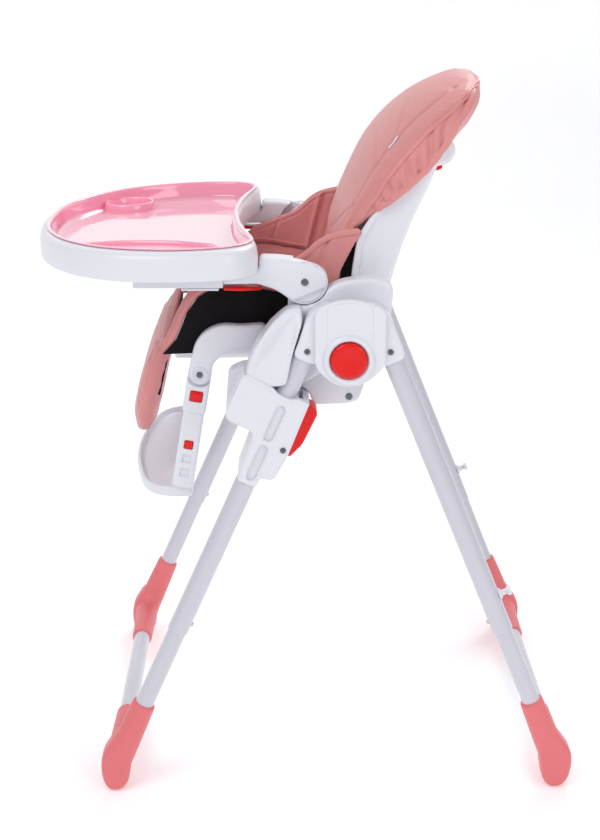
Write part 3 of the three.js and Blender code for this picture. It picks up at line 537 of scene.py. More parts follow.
def foot_cap(leg, block, name):
    """A soft plastic elbow over the corner of the base tube, with a sole block under it."""
    corner = leg_point(leg, CROSSBAR_Z)
    up = leg_up(leg)
    arm_top = leg_point(leg, FOOT_CAP_TOP)
    arm = sweep("arm", [corner, corner + up * 30, arm_top - up * 4, arm_top - up, arm_top],
                [20.8, 20.2, 17.8, 17.3, 16.6], 32)
    bar = sweep("bar", [(x, corner.y, CROSSBAR_Z) for x in (132, 133.5, 140, 230, 259)],
                [16.6, 17.2, 17.4, 19.6, 20.5], 32)
    turns = [math.pi * k / 16 for k in range(17)]
    ball = lathe("ball", [(21 * math.sin(turn), -21 * math.cos(turn)) for turn in turns],
                 (259, corner.y, CROSSBAR_Z), (1, 0, 0), 32)
    sole = slab("sole", block, 244.5, 284.5, radius=16, edge=9)
    elbow = sweep("elbow", base_path(leg)[1:14], 17.6, 32)
    cap = join(name, arm, bar, ball, elbow, sole)
    melt(cap, FINE_VOXEL, soften=7)
    tidy(cap, 50)
    return cap


# Side outlines of the sole blocks. Outlines across X are kept as (y, z) throughout this file.
FRONT_BLOCK = [(-309, 60), (-312, 40), (-310, 17), (-302, 0), (-282, 0), (-271, 12), (-266, 40), (-265, 66),
               (-286, 96)]
REAR_BLOCK = [(376, 96), (356, 66), (355, 40), (360, 12), (369, 0), (389, 0), (400, 14), (404, 38), (402, 60)]

for leg, kind, block, snap_side in ((FRONT_LEG, "front", FRONT_BLOCK, 1),
                                    (REAR_LEG, "rear", REAR_BLOCK, -1)):
    dress_pair(upper_tube(leg, f"{kind}_upper_tube_left"), TUBE, leg["body"], f"{kind}_leg_tube")
    base = sweep(f"{kind}_base_bar", base_path(leg), BASE_RADIUS, sides=32)
    dress(base, TUBE, leg["body"], f"{kind}_base_tube")
    dress_pair(foot_cap(leg, block, f"{kind}_foot_cap_left"), PINK_SOFT, leg["body"], f"{kind}_foot")
    up = leg_up(leg)
    out = Vector((0, up.z, -up.y)) * snap_side
    pin_root = leg_point(leg, SNAP_PIN_Z) + out * (UPPER_RADIUS - 1)
    pin = lathe(f"{kind}_snap_pin_left", [(3.6, 0), (3.6, 2.2), (3.3, 3), (2.4, 3.7), (1.2, 4)],
                pin_root, out, 20)
    dress_pair(pin, PIN_STEEL, leg["body"])


def tray_hook():
    """A T-shaped peg on a round base, behind each rear leg."""
    root = leg_point(REAR_LEG, TRAY_HOOK_Z)
    out = Vector((0, 0.926, 0.377))
    stem = lathe("stem", [(8.5, UPPER_RADIUS - 1), (8.5, UPPER_RADIUS + 1.6), (7.2, UPPER_RADIUS + 2.8),
                          (4.6, UPPER_RADIUS + 3.6), (4.1, UPPER_RADIUS + 14), (3.4, UPPER_RADIUS + 15)],
                 root, out, 24)
    tip = root + out * (UPPER_RADIUS + 15)
    reach = Vector((12, 0, 0))
    cross = sweep("cross", [tip + reach * share for share in (-1, -0.95, -0.82, 0.82, 0.95, 1)],
                  [1.4, 2.8, 3.4, 3.4, 2.8, 1.4], 16)
    return join("tray_peg_left", stem, cross)


dress_pair(tray_hook(), WHITE, "rear_legs", "tray_hook")

# ---------------------------------------------------------------- fold hubs

HUB_INNER = 246.5                       # how far out the covers' two faces lie
HUB_OUTER = 283.7
FRONT_DISC_OUTER = 264.7
REAR_DISC_INNER = 265.3
JOINT_RADIUS = 34
COVER_FRONT = [(-20, 684), (-13, 702), (-2, 734), (4, 744), (12, 751), (28, 757), (44, 748), (26, 700),
               (12, 670)]
COVER_REAR = [(101, 667), (132, 679), (135, 687), (122, 719), (118, 733), (108, 747), (92, 757), (70, 748),
              (85, 706)]
COVER_CAP = [(10, 748), (18, 756), (36, 764), (57, 767), (78, 764), (100, 756), (108, 748), (108, 673),
             (92, 656), (76, 646), (57, 643), (38, 646), (24, 656), (10, 672)]
CAP_PANEL = [(27, 757), (40, 761), (57, 762.5), (74, 761), (90, 757), (90, 660), (74, 651), (57, 648.5),
             (40, 651), (27, 660)]


def hub_cover(name, outline, web, disc_low, disc_high):
    """Half of a fold joint: a cover over the tube's end and a web out to the round joint disc."""
    shell = slab("shell", outline, HUB_INNER, HUB_OUTER, radius=12, edge=4)
    plate = slab("plate", web, disc_low, disc_high, radius=4, edge=1)
    round_part = disc("round", PIVOT, JOINT_RADIUS, disc_low, disc_high)
    return join(name, shell, plate, round_part)


FRONT_WEB = [(20, 665), (57, 650), (57, 714), (30, 720)]
REAR_WEB = [(94, 665), (57, 650), (57, 714), (84, 720)]
front_cover = hub_cover("front_hub_cover_left", COVER_FRONT, FRONT_WEB, HUB_INNER, FRONT_DISC_OUTER)
dress_pair(front_cover, WHITE, "front_frame", "front_hub_housing")
rear_cover = hub_cover("rear_hub_cover_left", COVER_REAR, REAR_WEB, REAR_DISC_INNER, HUB_OUTER)
dress_pair(rear_cover, WHITE, "rear_legs", "rear_hub_housing")


def hub_cap():
    """The outer cap with its stepped middle panel and the round collar that the button sits in."""
    plate = slab("plate", COVER_CAP, 284, 291.6, radius=14, edge=3, low_edge=0.6)
    panel = slab("panel", CAP_PANEL, 290, 292.6, radius=8, edge=1.0)
    collar = turned("collar", [(26.4, 288), (35.5, 288), (35.2, 292.6), (34.2, 295), (32.6, 296.3),
                               (30.6, 296.9), (28.4, 296.3), (27, 294.8), (26.4, 292)],
                    PIVOT, 64, closed=True)
    bore = turned("bore", [(26.2, 280), (26.2, 300)], PIVOT, 64)
    cap = carve(join("cap", plate, panel), bore)
    return join("hub_cap_cover_left", cap, collar)


dress_pair(hub_cap(), WHITE, "rear_legs", "hub_cap")
button = turned("fold_push_button_left", [(23, 290.3), (25.3, 290.6), (25.4, 296.5), (24.6, 298.6),
                                          (22.8, 299.8), (20.5, 300), (12, 299.2), (5, 298.9), (1, 298.8)],
                PIVOT, 64)
dress_pair(button, RED, ("fold_button_left", "fold_button_right"), "fold_button")
# A thin dark disc at the bottom of the button's bore: painted shade in the gap round the red button.
well = turned("hub_well_left", [(26, 283.6), (26, 284.2), (25.6, 284.4), (1, 284.4)], PIVOT)
dress_pair(well, PAINTED_SHADE, "rear_legs")
axle = turned("hub_rivet_left", [(6, 283.2), (6, 246.2), (9.4, 246.1), (10, 245.4), (9.2, 244.9),
                                 (4, 244.7)], PIVOT, 32)
dress_pair(axle, CHROME, "front_frame", "hub_axle")

# ---------------------------------------------------------------- seat side frames and sliders

FRAME_OUTLINE = [(-87, 654), (-73, 691), (-63, 706), (-44, 730), (-22, 747), (4, 746), (32, 774), (53, 782),
                 (87, 786), (107, 783), (118, 777), (121, 764), (118, 741), (119, 712), (96, 690),
                 (40, 664), (8, 640), (-20, 625.5), (-50, 642)]
FLANGE_OUTLINE = [(-87, 652), (-82, 672), (-74, 693), (-63, 711), (-48, 730), (-28, 746), (-8, 749),
                  (-6, 731), (-16, 702), (-21, 684), (-29, 643), (-54, 640)]
PIVOT_PLATE_OUTLINE = [(-56, 650), (-20, 628), (3, 619), (9, 596), (59, 598), (74, 603), (78, 612),
                       (84, 632), (108, 700), (60, 720), (-46, 706)]
SLIDER_OUTLINE = [(-111, 650), (-86, 661), (-50, 641), (-41, 630), (-21, 622), (-14, 623), (4, 616),
                  (1, 610), (-28, 537), (-48, 501), (-67, 506), (-72, 491), (-101, 503), (-77, 569),
                  (-79, 576), (-115, 594)]
LEVER_OUTLINE = [(-31, 538), (-25, 531), (-6, 551), (15, 595), (13, 603), (4, 609), (-4, 607), (-9, 598)]
WINDOW_MIDDLES = ((-46, 588.5), (-71, 530.5))
WINDOW_LENGTH = 57
WINDOW_WIDTH = 14
TUBE_UP = Vector((0.4035, 0.915))
SLIDER_FACE = 286
PLATE_INNER = 212                       # how far out the side frame and the arm's lug begin and end
LUG_FACE = 223.4
SADDLE_RADIUS = 33.8


def side_frame():
    """One moulded shell: a plate by the seat that swells out to a broad flange in front of the tube."""
    plate = slab("seat_frame_left", FRAME_OUTLINE, PLATE_INNER, 244, radius=20, edge=6)
    flange = slab("flange", FLANGE_OUTLINE, 232, 283.4, radius=6, edge=2.4)
    points = points_of(flange)
    rise = np.clip((points[:, 2] - 708) / 50, 0, 1)
    share = rise * rise * (3 - 2 * rise)
    points[:, 0] = np.where(points[:, 0] > 240, 240 + (points[:, 0] - 240) * (1 - 0.6 * share), points[:, 0])
    move_points(flange, points)
    shell = join("seat_frame_left", plate, flange)
    melt(shell, FINE_VOXEL, soften=3)
    tube_room = sweep("room", [leg_point(FRONT_LEG, 560), leg_point(FRONT_LEG, 800)], UPPER_RADIUS + 1, 40)
    carve(shell, tube_room, disc("saddle", ARM_PIVOT, SADDLE_RADIUS, LUG_FACE, 270, edge=0.2), angle=45)
    slider_room = slab("slider_room", inset(SLIDER_OUTLINE, -0.3), 190, 295, radius=6, edge=0.2)
    carve(shell, slider_room, angle=45)
    pivot_plate = slab("pivot_plate", PIVOT_PLATE_OUTLINE, 204, 225, radius=12, edge=3)
    lug = disc("lug", ARM_PIVOT, 22, PLATE_INNER, LUG_FACE)
    neck_outline = [(-26, 735), (22, 735), (20, 770), (-26, 770)]
    neck = slab("neck", neck_outline, PLATE_INNER, LUG_FACE, radius=4, edge=2)
    return join("seat_frame_left", shell, pivot_plate, lug, neck)


dress_pair(side_frame(), WHITE, "seat", "seat_side_frame")


def obround(middle, length, width):
    """A slot along the leg with round ends, as a closed outline."""
    side = Vector((TUBE_UP.y, -TUBE_UP.x))
    points = []
    for end in (1, -1):
        for k in range(9):
            turn = math.pi * k / 8
            across = end * math.cos(turn) * width / 2
            along = end * ((length - width) / 2 + math.sin(turn) * width / 2)
            points.append(tuple(Vector(middle) + TUBE_UP * along + side * across))
    return points


def slider():
    """The housing that climbs the front leg, with two oval windows in raised rims."""
    body = slab("height_slider_cover_left", SLIDER_OUTLINE, 205, SLIDER_FACE, radius=9, edge=6, low_edge=3)
    slope = slab("slope", [(-87, 663), (-115, 601), (-130, 600), (-130, 690)], 236, 295, radius=1, edge=0.3)
    carve(body, slope)
    rims = []
    for number, middle in enumerate(WINDOW_MIDDLES):
        window = obround(middle, WINDOW_LENGTH, WINDOW_WIDTH)
        carve(body, slab("window", window, SLIDER_FACE - 3.6, SLIDER_FACE + 6, radius=1, edge=0.3))
        rings = []
        for grow, height in ((0, -1.8), (0, 0.1), (0.8, 0.6), (2.2, 0.6), (3, 0.1), (3, -1.8)):
            outline = rounded(obround(middle, WINDOW_LENGTH + grow, WINDOW_WIDTH + grow), 1, 1)
            rings.append([place(p, SLIDER_FACE + height, "x") for p in outline])
        rings.append(rings[0])
        rims.append(loft(f"rim_{number}", rings, ends=False))
    pocket = slab("pocket", [(-2, 628), (-38, 532), (-48, 538), (-12, 622)], 228, 270, radius=1, edge=0.3)
    edge_line = [(-86, 658), (-69, 649), (-51, 638.5), (-41, 628.5), (-22, 619.5), (-14, 620.5), (1, 614.5)]
    lip = sweep("lip", [(283.2, y, z) for y, z in smooth_line(edge_line, 40)], [1] + [3.4] * 38 + [1], 16)
    return join("height_slider_cover_left", carve(body, pocket), lip, *rims)


dress_pair(slider(), WHITE, "seat", "height_slider")


def height_lever():
    """A squeeze grip with four ribs for the fingers."""
    body = slab("body", LEVER_OUTLINE, 231, 267, radius=8, edge=3)
    ribs = []
    for k in range(4):
        low = Vector((-14, 549)) + Vector((0.42, 0.9)) * (k * 11)
        ribs.append(sweep(f"rib_{k}", [(236, low.x + 3.5, low.y - 1.5), (262, low.x + 3.5, low.y - 1.5)],
                          2.0, 12))
    return join("height_lever_grip_left", body, *ribs)


dress_pair(height_lever(), RED, ("height_lever_left", "height_lever_right"), "height_lever")

# ---------------------------------------------------------------- screws


def screw(name, centre, face, radius=5.2):
    """A pan-head screw that faces out along +X, with a cross recess."""
    height = 2.2
    head = turned(name, [(radius, face - 3), (radius, face + height * 0.35),
                         (radius * 0.9, face + height * 0.7), (radius * 0.66, face + height * 0.93),
                         (radius * 0.3, face + height)], centre, 28)
    arm = radius * 0.62
    for turn in (0.4, 0.4 + math.pi / 2):
        along = Vector((math.cos(turn), math.sin(turn))) * arm
        across = Vector((-math.sin(turn), math.cos(turn))) * radius * 0.16
        middle = Vector(centre)
        outline = [tuple(middle + along + across), tuple(middle - along + across),
                   tuple(middle - along - across), tuple(middle + along - across)]
        carve(head, slab("slot", outline, face + height - 1.3, face + height + 2, radius=0.3, edge=0.1),
              angle=30)
    return head


dress_pair(screw("arm_screw_left", ARM_PIVOT, 245.2), CHROME, "seat", "arm_pivot_screw")
dress_pair(screw("footrest_screw_left", FOOT_PIVOT, 208.3, 4.8), CHROME, "seat", "footrest_pivot_screw")
dress_pair(screw("recline_screw_left", RECLINE_PIVOT, 225.2), CHROME, "seat", "recline_pivot_screw")
COVER_SCREWS = (((0, 692), 283.6, "front_frame"), ((115, 691), 283.6, "rear_legs"), ((-34, 549), 286, "seat"))
for number, (centre, face, body) in enumerate(COVER_SCREWS):
    dress_pair(screw(f"cover_screw_{number}_left", centre, face, 4.4), CHROME, body)

# ---------------------------------------------------------------- armrests

ARM_X = (205, 245)
ARM_OUTLINE = [(-200, 776), (-70, 778), (-62, 776), (-44, 770), (-30, 760.5), (-20, 752.6), (-8, 748.4),
               (6, 749.3), (19, 756.4), (28, 768.5), (30, 782), (26, 794), (17, 801), (5, 805), (-12, 810),
               (-37, 813.5), (-66, 814.5), (-66, 798), (-200, 790)]
ARM_CHIN = [(-27, 753), (33, 777.5), (45, 735), (-25, 735)]


def armrest():
    """A bar with a round pivot end. The end's outer face stops at a straight line over a disc."""
    body = slab("armrest_shell_left", ARM_OUTLINE, *ARM_X, radius=9, edge=5)
    carve(body, slab("chin", ARM_CHIN, 241, 250, radius=1, edge=0.2))
    carve(body, disc("saddle", ARM_PIVOT, SADDLE_RADIUS, 200, 224, edge=0.2))
    crescent = turned("crescent", [(27, 240), (27, 242), (27.8, 242.6), (28.6, 242), (28.6, 240)],
                      ARM_PIVOT, 64, closed=True)
    return join("armrest_shell_left", body, crescent)


dress_pair(armrest(), WHITE, "armrests", "armrest")

# ---------------------------------------------------------------- tray

# Left halves of the outlines, seen from above and kept as (x, y), from the front's middle round.
TRAY_HALF = [(0, -397), (62, -394), (116, -385), (165, -369), (207, -347), (242, -320), (268, -290),
             (289, -253), (301, -213), (306, -170), (305, -132), (298, -102), (280, -81), (258, -71),
             (238, -68), (205, -70), (160, -82), (90, -92), (0, -97)]
INSERT_HALF = [(0, -383), (60, -380), (110, -370), (160, -351), (195, -330), (225, -303), (247, -274),
               (265, -235), (276, -197), (279, -163), (276, -132), (268, -106), (252, -86), (230, -77),
               (200, -80), (152, -89), (85, -99), (0, -104)]
RIM_Z = 836
DECK_Z = RIM_Z - 27
SKIRT_Z = RIM_Z - 38
TRAY_TILT = math.radians(1.6)
TRAY_PIVOT_Y = -68
CUP = (-188, -284)


def whole_outline(half):
    """A smooth closed outline from its left half."""
    right = [tuple(p) for p in smooth_line(half, 72)]
    return right + [(-x, y) for x, y in reversed(right[1:-1])]


def tip(piece):
    """Tips a piece that was built level to the tray's slope, which falls towards the front."""
    hinge = Vector((0, TRAY_PIVOT_Y * MM, RIM_Z * MM))
    turn = Matrix.Translation(hinge) @ Matrix.Rotation(TRAY_TILT, 4, "X") @ Matrix.Translation(-hinge)
    piece.data.transform(turn)
    return piece


def cup_round(name, profile, count, closed=False):
    """A lathe about the cup's upright axis. Its profile is kept as (radius, height)."""
    return lathe(name, profile, (*CUP, 0), (0, 0, 1), count, closed=closed)


TRAY_OUTLINE = whole_outline(TRAY_HALF)
INSERT_OUTLINE = whole_outline(INSERT_HALF)


def ring_levels(outline, levels):
    """Rings of an outline: each level says how far it is inset, and its height."""
    return [[(x, y, z) for x, y in inset(outline, distance)] for distance, z in levels]


def tray_body():
    """A broad rim and skirt round a sunken deck, with a cup well, ribs and slots for the armrests."""
    skirt = [(12, DECK_Z - 4), (6.5, DECK_Z - 4.4), (4.6, DECK_Z - 6), (4.2, SKIRT_Z + 2), (3.4, SKIRT_Z),
             (2, SKIRT_Z - 0.6), (0.7, SKIRT_Z), (0, SKIRT_Z + 2.4), (0, SKIRT_Z + 12), (0.6, SKIRT_Z + 22),
             (1.4, RIM_Z - 10), (2.4, RIM_Z - 6.4), (4, RIM_Z - 3.6), (6.2, RIM_Z - 1.6), (8.6, RIM_Z - 0.5),
             (11, RIM_Z)]
    deck = [(-1.2, RIM_Z), (-0.5, RIM_Z - 0.4), (-0.2, RIM_Z - 1.4), (0.4, DECK_Z + 2), (2, DECK_Z),
            (6, DECK_Z - 0.4)]
    rings = ring_levels(TRAY_OUTLINE, skirt) + ring_levels(INSERT_OUTLINE, deck)
    body = loft("tray_shell", rings, angle=45)
    hole = cup_round("hole", [(38, DECK_Z - 20), (38, DECK_Z + 10)], 48)
    carve(body, hole, angle=45)
    well = cup_round("well", [(39, DECK_Z - 1), (40.5, DECK_Z - 2), (40.5, 794.8), (39.5, 793.8), (4, 793.8),
                              (4, 796.4), (37.6, 796.4), (37.6, DECK_Z - 1)], 48, closed=True)
    slot_outline = [(-110, 770), (-55, 770), (-55, 799), (-110, 799)]
    arm_slot = slab("slot", slot_outline, 202.5, 247.5, radius=3, edge=1)
    slots = [mirrored(arm_slot, "slot_right"), arm_slot]
    ribs = []
    for k in range(5):
        y = -140 - 50 * k
        half_length = 150 + 8 * k if k < 3 else 190 - 26 * k
        ribs.append(slab(f"rib_{k}", [(-half_length, DECK_Z - 2.5), (half_length, DECK_Z - 2.5),
                                      (half_length - 4, DECK_Z - 9), (4 - half_length, DECK_Z - 9)],
                         y - 1, y + 1, axis="y", radius=1, edge=0.4))
    return tip(carve(join("tray_shell", body, well, *ribs), *slots, angle=45))


dress(tray_body(), WHITE, "tray", "tray_body")


def tray_insert():
    """The clear liner: a lip over the tray's rim, a sunken floor with one ridge, and a cup holder."""
    wall = [(8, DECK_Z + 0.5), (2, DECK_Z + 0.6), (0.8, DECK_Z + 2), (0.2, RIM_Z - 1), (-0.4, RIM_Z + 0.2),
            (-2.6, RIM_Z + 0.3), (-3.4, RIM_Z + 1), (-3.2, RIM_Z + 2), (-2.0, RIM_Z + 2.5),
            (0.6, RIM_Z + 2.5), (2.2, RIM_Z + 1.6), (3.2, RIM_Z - 0.4), (4, RIM_Z - 6), (5.4, DECK_Z + 8),
            (7, DECK_Z + 4.6), (9.6, DECK_Z + 3.1), (13, DECK_Z + 2.7)]
    body = loft("tray_liner", ring_levels(INSERT_OUTLINE, wall), angle=60)
    hole = cup_round("hole", [(35.4, DECK_Z - 20), (35.4, DECK_Z + 24)], 64)
    carve(body, hole, angle=50)
    collar = [(41.6, 1), (41.4, 8), (40.6, 13), (39.4, 15.4), (37.8, 16), (36, 15.4), (34.8, 12.6), (33.8, 6)]
    bowl = [(33.2, 806), (31.6, 802.6), (28, 801.4), (2, 801.2), (2, 798.8), (29, 798.8), (34, 800),
            (36.6, 803.4), (37, DECK_Z + 0.6)]
    cup = cup_round("cup", [(radius, DECK_Z + rise) for radius, rise in collar] + bowl, 64, closed=True)
    ridge_line = smooth_line([(152, -128), (116, -198), (106, -280), (126, -352)], 30)
    ridge = sweep("ridge", [(x, y, DECK_Z + 3) for x, y in ridge_line],
                  [2.0] + [4.2] * 28 + [2.0], 16, squash=1.5, up=(0, 0, 1))
    return tip(join("tray_liner", body, cup, ridge))


dress(tray_insert(), PINK_GLOSS, "insert_tray", "tray_insert")


def tray_rail():
    """A channel under the tray that slides along the armrest, with an in-turned lower lip."""
    low, high = 773.8, 803
    section = [(201, low), (249, low), (249, high), (245.4, high), (245.4, low + 2), (204.6, low + 2),
               (204.6, high), (201, high)]
    channel = slab("channel", section, -240, -116, axis="y", radius=1.4, edge=0.8)
    grip = slab("grip", [(207, 768.6), (243, 768.6), (243, 772), (207, 772)], -174, -122, axis="y",
                radius=1, edge=0.8)
    return join("tray_channel_left", channel, grip)


dress_pair(tray_rail(), WHITE, "tray", "tray_rail")
RELEASE_OUTLINE = [(-115.5, 772), (-115.5, 768), (-90, 767), (-64, 768.5), (-62, 770), (-66, 771.5)]
release = slab("tray_release_left", RELEASE_OUTLINE, 211, 239, radius=3, edge=1.2)
dress_pair(release, RED, ("tray_lever_left", "tray_lever_right"), "tray_release_lever")

# ---------------------------------------------------------------- footrest

FOOT_ARM_OUTLINE = [(-56, 712), (-90, 709), (-122, 711), (-144, 702), (-159, 684), (-165, 660), (-169, 640),
                    (-166, 626), (-155, 620.2), (-144, 622.5), (-137, 631), (-134, 652), (-123, 663),
                    (-106, 672), (-88, 674), (-56, 676)]
STRUT_X = (186, 208)
LEG_DOWN = Vector((-0.17, -0.985))
LEG_FRONT = Vector((-0.985, 0.17))
PLATE_STEP = 22                         # from one height of the plate to the next


def on_leg(down, front):
    """A point of the footrest leg: `down` along it from the pivot and `front` across it."""
    return tuple(Vector(FOOT_PIVOT) + LEG_DOWN * down + LEG_FRONT * front)


def leg_plate(name, start, end, half_depth, low, high, radius=4, edge=2.0):
    """A plate along the footrest leg, between two distances down from the pivot."""
    outline = [on_leg(start, -half_depth), on_leg(end, -half_depth), on_leg(end, half_depth),
               on_leg(start, half_depth)]
    return slab(name, outline, low, high, radius=radius, edge=edge)


def footrest_arm():
    """A bent arm from the seat's side down to the footrest pivot, with a round ear at its end."""
    body = slab("footrest_bracket_left", FOOT_ARM_OUTLINE, 188.3, 208, radius=12, edge=4.5)
    carve(body, disc("ear", FOOT_PIVOT, 21, 180, 202.5, edge=0.2))
    ring = turned("ring", [(9, 206.8), (9, 209.2), (9.8, 209.9), (11, 209.9), (11.8, 209.2), (11.8, 206.8)],
                  FOOT_PIVOT, closed=True)
    return join("footrest_bracket_left", body, ring)


dress_pair(footrest_arm(), WHITE, "seat", "footrest_arm")


def footrest_leg():
    """A hanging leg in two steps, with a button pocket and three windows for the plate's height."""
    lug = disc("lug", FOOT_PIVOT, 17, 186, 202.2, edge=2)
    upper = leg_plate("upper", 2, 60, 17, *STRUT_X, radius=7, edge=3.5)
    carve(upper, disc("room", FOOT_PIVOT, 19, 202.2, 215, edge=0.2))
    lower = leg_plate("lower", 57, 176, 15.2, 186.6, 207.4, radius=6, edge=3.5)
    pocket = leg_plate("pocket", 24.4, 41.6, 9.6, 201.6, 215, radius=3, edge=0.3)
    carve(upper, pocket)
    for k in range(3):
        top = 101 + PLATE_STEP * k
        bottom = 204.6 if k else 202
        carve(lower, leg_plate("window", top, top + 14, 7, bottom, 215, radius=3, edge=0.3))
    return join("footrest_strut_left", lug, upper, lower)


dress_pair(footrest_leg(), WHITE, "footrest", "footrest_leg")


def angle_button():
    """A stepped push button."""
    low = leg_plate("low", 25.3, 40.7, 9, 204, 208.5, radius=3, edge=1.2)
    high = leg_plate("high", 27.5, 34.5, 7, 206, 210, radius=2, edge=1.2)
    return join("footrest_push_left", low, high)


dress_pair(angle_button(), RED, ("footrest_button_left", "footrest_button_right"), "footrest_angle_button")
snap = leg_plate("footplate_push_left", 101.5, 114.5, 6.5, 198, 208.6, radius=4, edge=2)
dress_pair(snap, RED, ("footplate_button_left", "footplate_button_right"), "footplate_button")

PLATE_HALF = [(0, -264), (60, -261), (115, -253), (160, -243), (188, -226), (199, -205), (200, -184),
              (200, -168)]


def footplate():
    """A dished plate with a rounded rim, on two tongues that run up inside the legs."""
    front = [tuple(p) for p in smooth_line(PLATE_HALF, 40)]
    outline = front + [(-x, y) for x, y in reversed(front[1:])]
    levels = [(9, 446.4), (5, 446), (1.6, 447.6), (0, 451), (0, 457), (1, 460.6), (3, 462), (5, 461.6),
              (7, 459), (9, 455), (13, 452.6), (22, 451.6)]
    plate = loft("plate", ring_levels(outline, levels), angle=50)
    tongue = leg_plate("tongue_left", 88, 188, 11, 190.5, 200, radius=2, edge=1)
    return join("footplate_tread", plate, mirrored(tongue, "tongue_right"), tongue)


dress(footplate(), WHITE, "footplate", "footplate")

# ---------------------------------------------------------------- seat pan

PAN_HALF = 188
PAN_WALL = 4
PAN_FLOOR = 643
# The height of the pan's rim, kept as (y, height).
PAN_TOP = [(-190, 676), (-186, 688), (-174, 718), (-160, 742), (-148, 751), (-60, 752), (14, 738)]


def along(table, value):
    """The value of a table of (place, value) pairs at a place between them."""
    return float(np.interp(value, [p for p, _ in table], [v for _, v in table]))


def seat_pan():
    """A trough with raised sides, stiffened by ribs underneath."""
    rings = []
    for y in (-190, -189.4, -186, -180, -174, -167, -160, -154, -148, -120, -90, -60, -30, 0, 12.6, 13.5, 14):
        top = along(PAN_TOP, y)
        lip = 0.8 if y in (-190, 14) else 0
        out = PAN_HALF - lip
        inside = PAN_HALF - PAN_WALL + lip
        outer = [(-out, top), (-out, 668), (-150, PAN_FLOOR + lip), (150, PAN_FLOOR + lip), (out, 668),
                 (out, top)]
        inner = [(inside, top), (inside, 671), (148, PAN_FLOOR + 4.5 - lip), (-148, PAN_FLOOR + 4.5 - lip),
                 (-inside, 671), (-inside, top)]
        section = outer + inner
        rings.append([place(p, y, "y") for p in rounded(section, 22)])
    trough = loft("trough", rings, angle=50)
    bracket = slab("bracket", [(-50, 672), (0, 672), (0, 700), (-50, 700)], 187, 203.7, radius=4, edge=1.5)
    rib_outline = [(-186, 640.6), (8, 640.6), (8, 644), (-186, 644)]
    ribs = [slab(f"rib_{k}", rib_outline, x - 1.5, x + 1.5, radius=1, edge=0.5)
            for k, x in enumerate((-120, -60, 0, 60, 120))]
    return join("seat_tub", trough, bracket, mirrored(bracket, "bracket_right"), *ribs)


dress(seat_pan(), WHITE, "seat", "seat_pan")

# ---------------------------------------------------------------- back shell

# Tables of (height, y) for the shell's two faces, and of (height, half width).
SHELL_REAR = [(640, 100), (740, 118), (776, 127), (812, 138), (855, 154), (897, 172), (932, 187),
              (972, 206), (998, 218), (1006, 221)]
SHELL_FRONT = [(640, 52), (700, 58), (790, 66), (830, 72), (864, 93), (900, 130), (940, 157), (975, 180),
               (1006, 203)]
SHELL_HALF = [(640, 180), (880, 180), (915, 177), (950, 168), (975, 150), (988, 136), (1000, 112), (1006, 94)]
SHELL_FOOT = [(52, 644), (46, 622), (47, 604), (56, 594), (68, 594), (78, 604), (84, 622), (101, 644)]
SHELL_WALL = 4.5


def back_shell():
    """A tub that is open to the front, on a foot with a pivot boss at each side."""
    rings = []
    for z in [640, 640.6] + list(np.linspace(646, 1000, 46)) + [1003, 1005.4, 1006]:
        half = along(SHELL_HALF, z)
        front = along(SHELL_FRONT, z)
        rear = along(SHELL_REAR, z)
        section = [(half, front), (half, rear), (-half, rear), (-half, front), (SHELL_WALL - half, front),
                   (SHELL_WALL - half, rear - SHELL_WALL), (half - SHELL_WALL, rear - SHELL_WALL),
                   (half - SHELL_WALL, front)]
        rings.append([place(p, z, "z") for p in rounded(section, 34, 7)])
    tub = loft("tub", rings, angle=50)
    foot = slab("foot", SHELL_FOOT, -180, 180, radius=10, edge=4)
    boss = disc("boss", RECLINE_PIVOT, 14, 172, 203.7, edge=2)
    strip_z = np.linspace(646, 872, 16)
    edge = [(along(SHELL_FRONT, z) + 0.5, z) for z in strip_z]
    strip = slab("strip", edge + [(y + 9, z) for y, z in reversed(edge)], 178, 182.4, radius=2, edge=1.6)
    ribs = []
    for k, x in enumerate((-96, -48, 0, 48, 96)):
        line = [(x, along(SHELL_REAR, z) - 0.5, z) for z in np.linspace(668, 868, 18)]
        ribs.append(sweep(f"rib_{k}", line, [0.6] + [3.2] * 16 + [0.6], 16, squash=0.8, up=(0, 1, 0)))
    return join("back_tub", tub, foot, boss, mirrored(boss, "boss_right"), strip,
                mirrored(strip, "strip_right"), *ribs)


dress(back_shell(), WHITE, "backrest", "back_shell")

RECLINE_HOUSING = [(197, 955), (187, 932), (179, 911), (196, 911.5), (212, 914.5), (221, 924), (223.5, 936),
                   (219, 948), (209, 954)]
housing = slab("recline_catch_cover", RECLINE_HOUSING, -62, 62, radius=12, edge=9)
carve(housing, slab("pocket", [(180, 900), (211, 900), (211, 921), (180, 921)], -40, 40, radius=4, edge=1))
dress(housing, WHITE, "backrest", "recline_housing")
RECLINE_PULL = [(185, 918), (183, 904), (199, 902), (206, 905), (207, 913), (203, 918)]
pull = slab("recline_pull", RECLINE_PULL, -36, 36, radius=3, edge=2)
dress(pull, RED, "recline_lever", "recline_lever")

# ---------------------------------------------------------------- padded cover


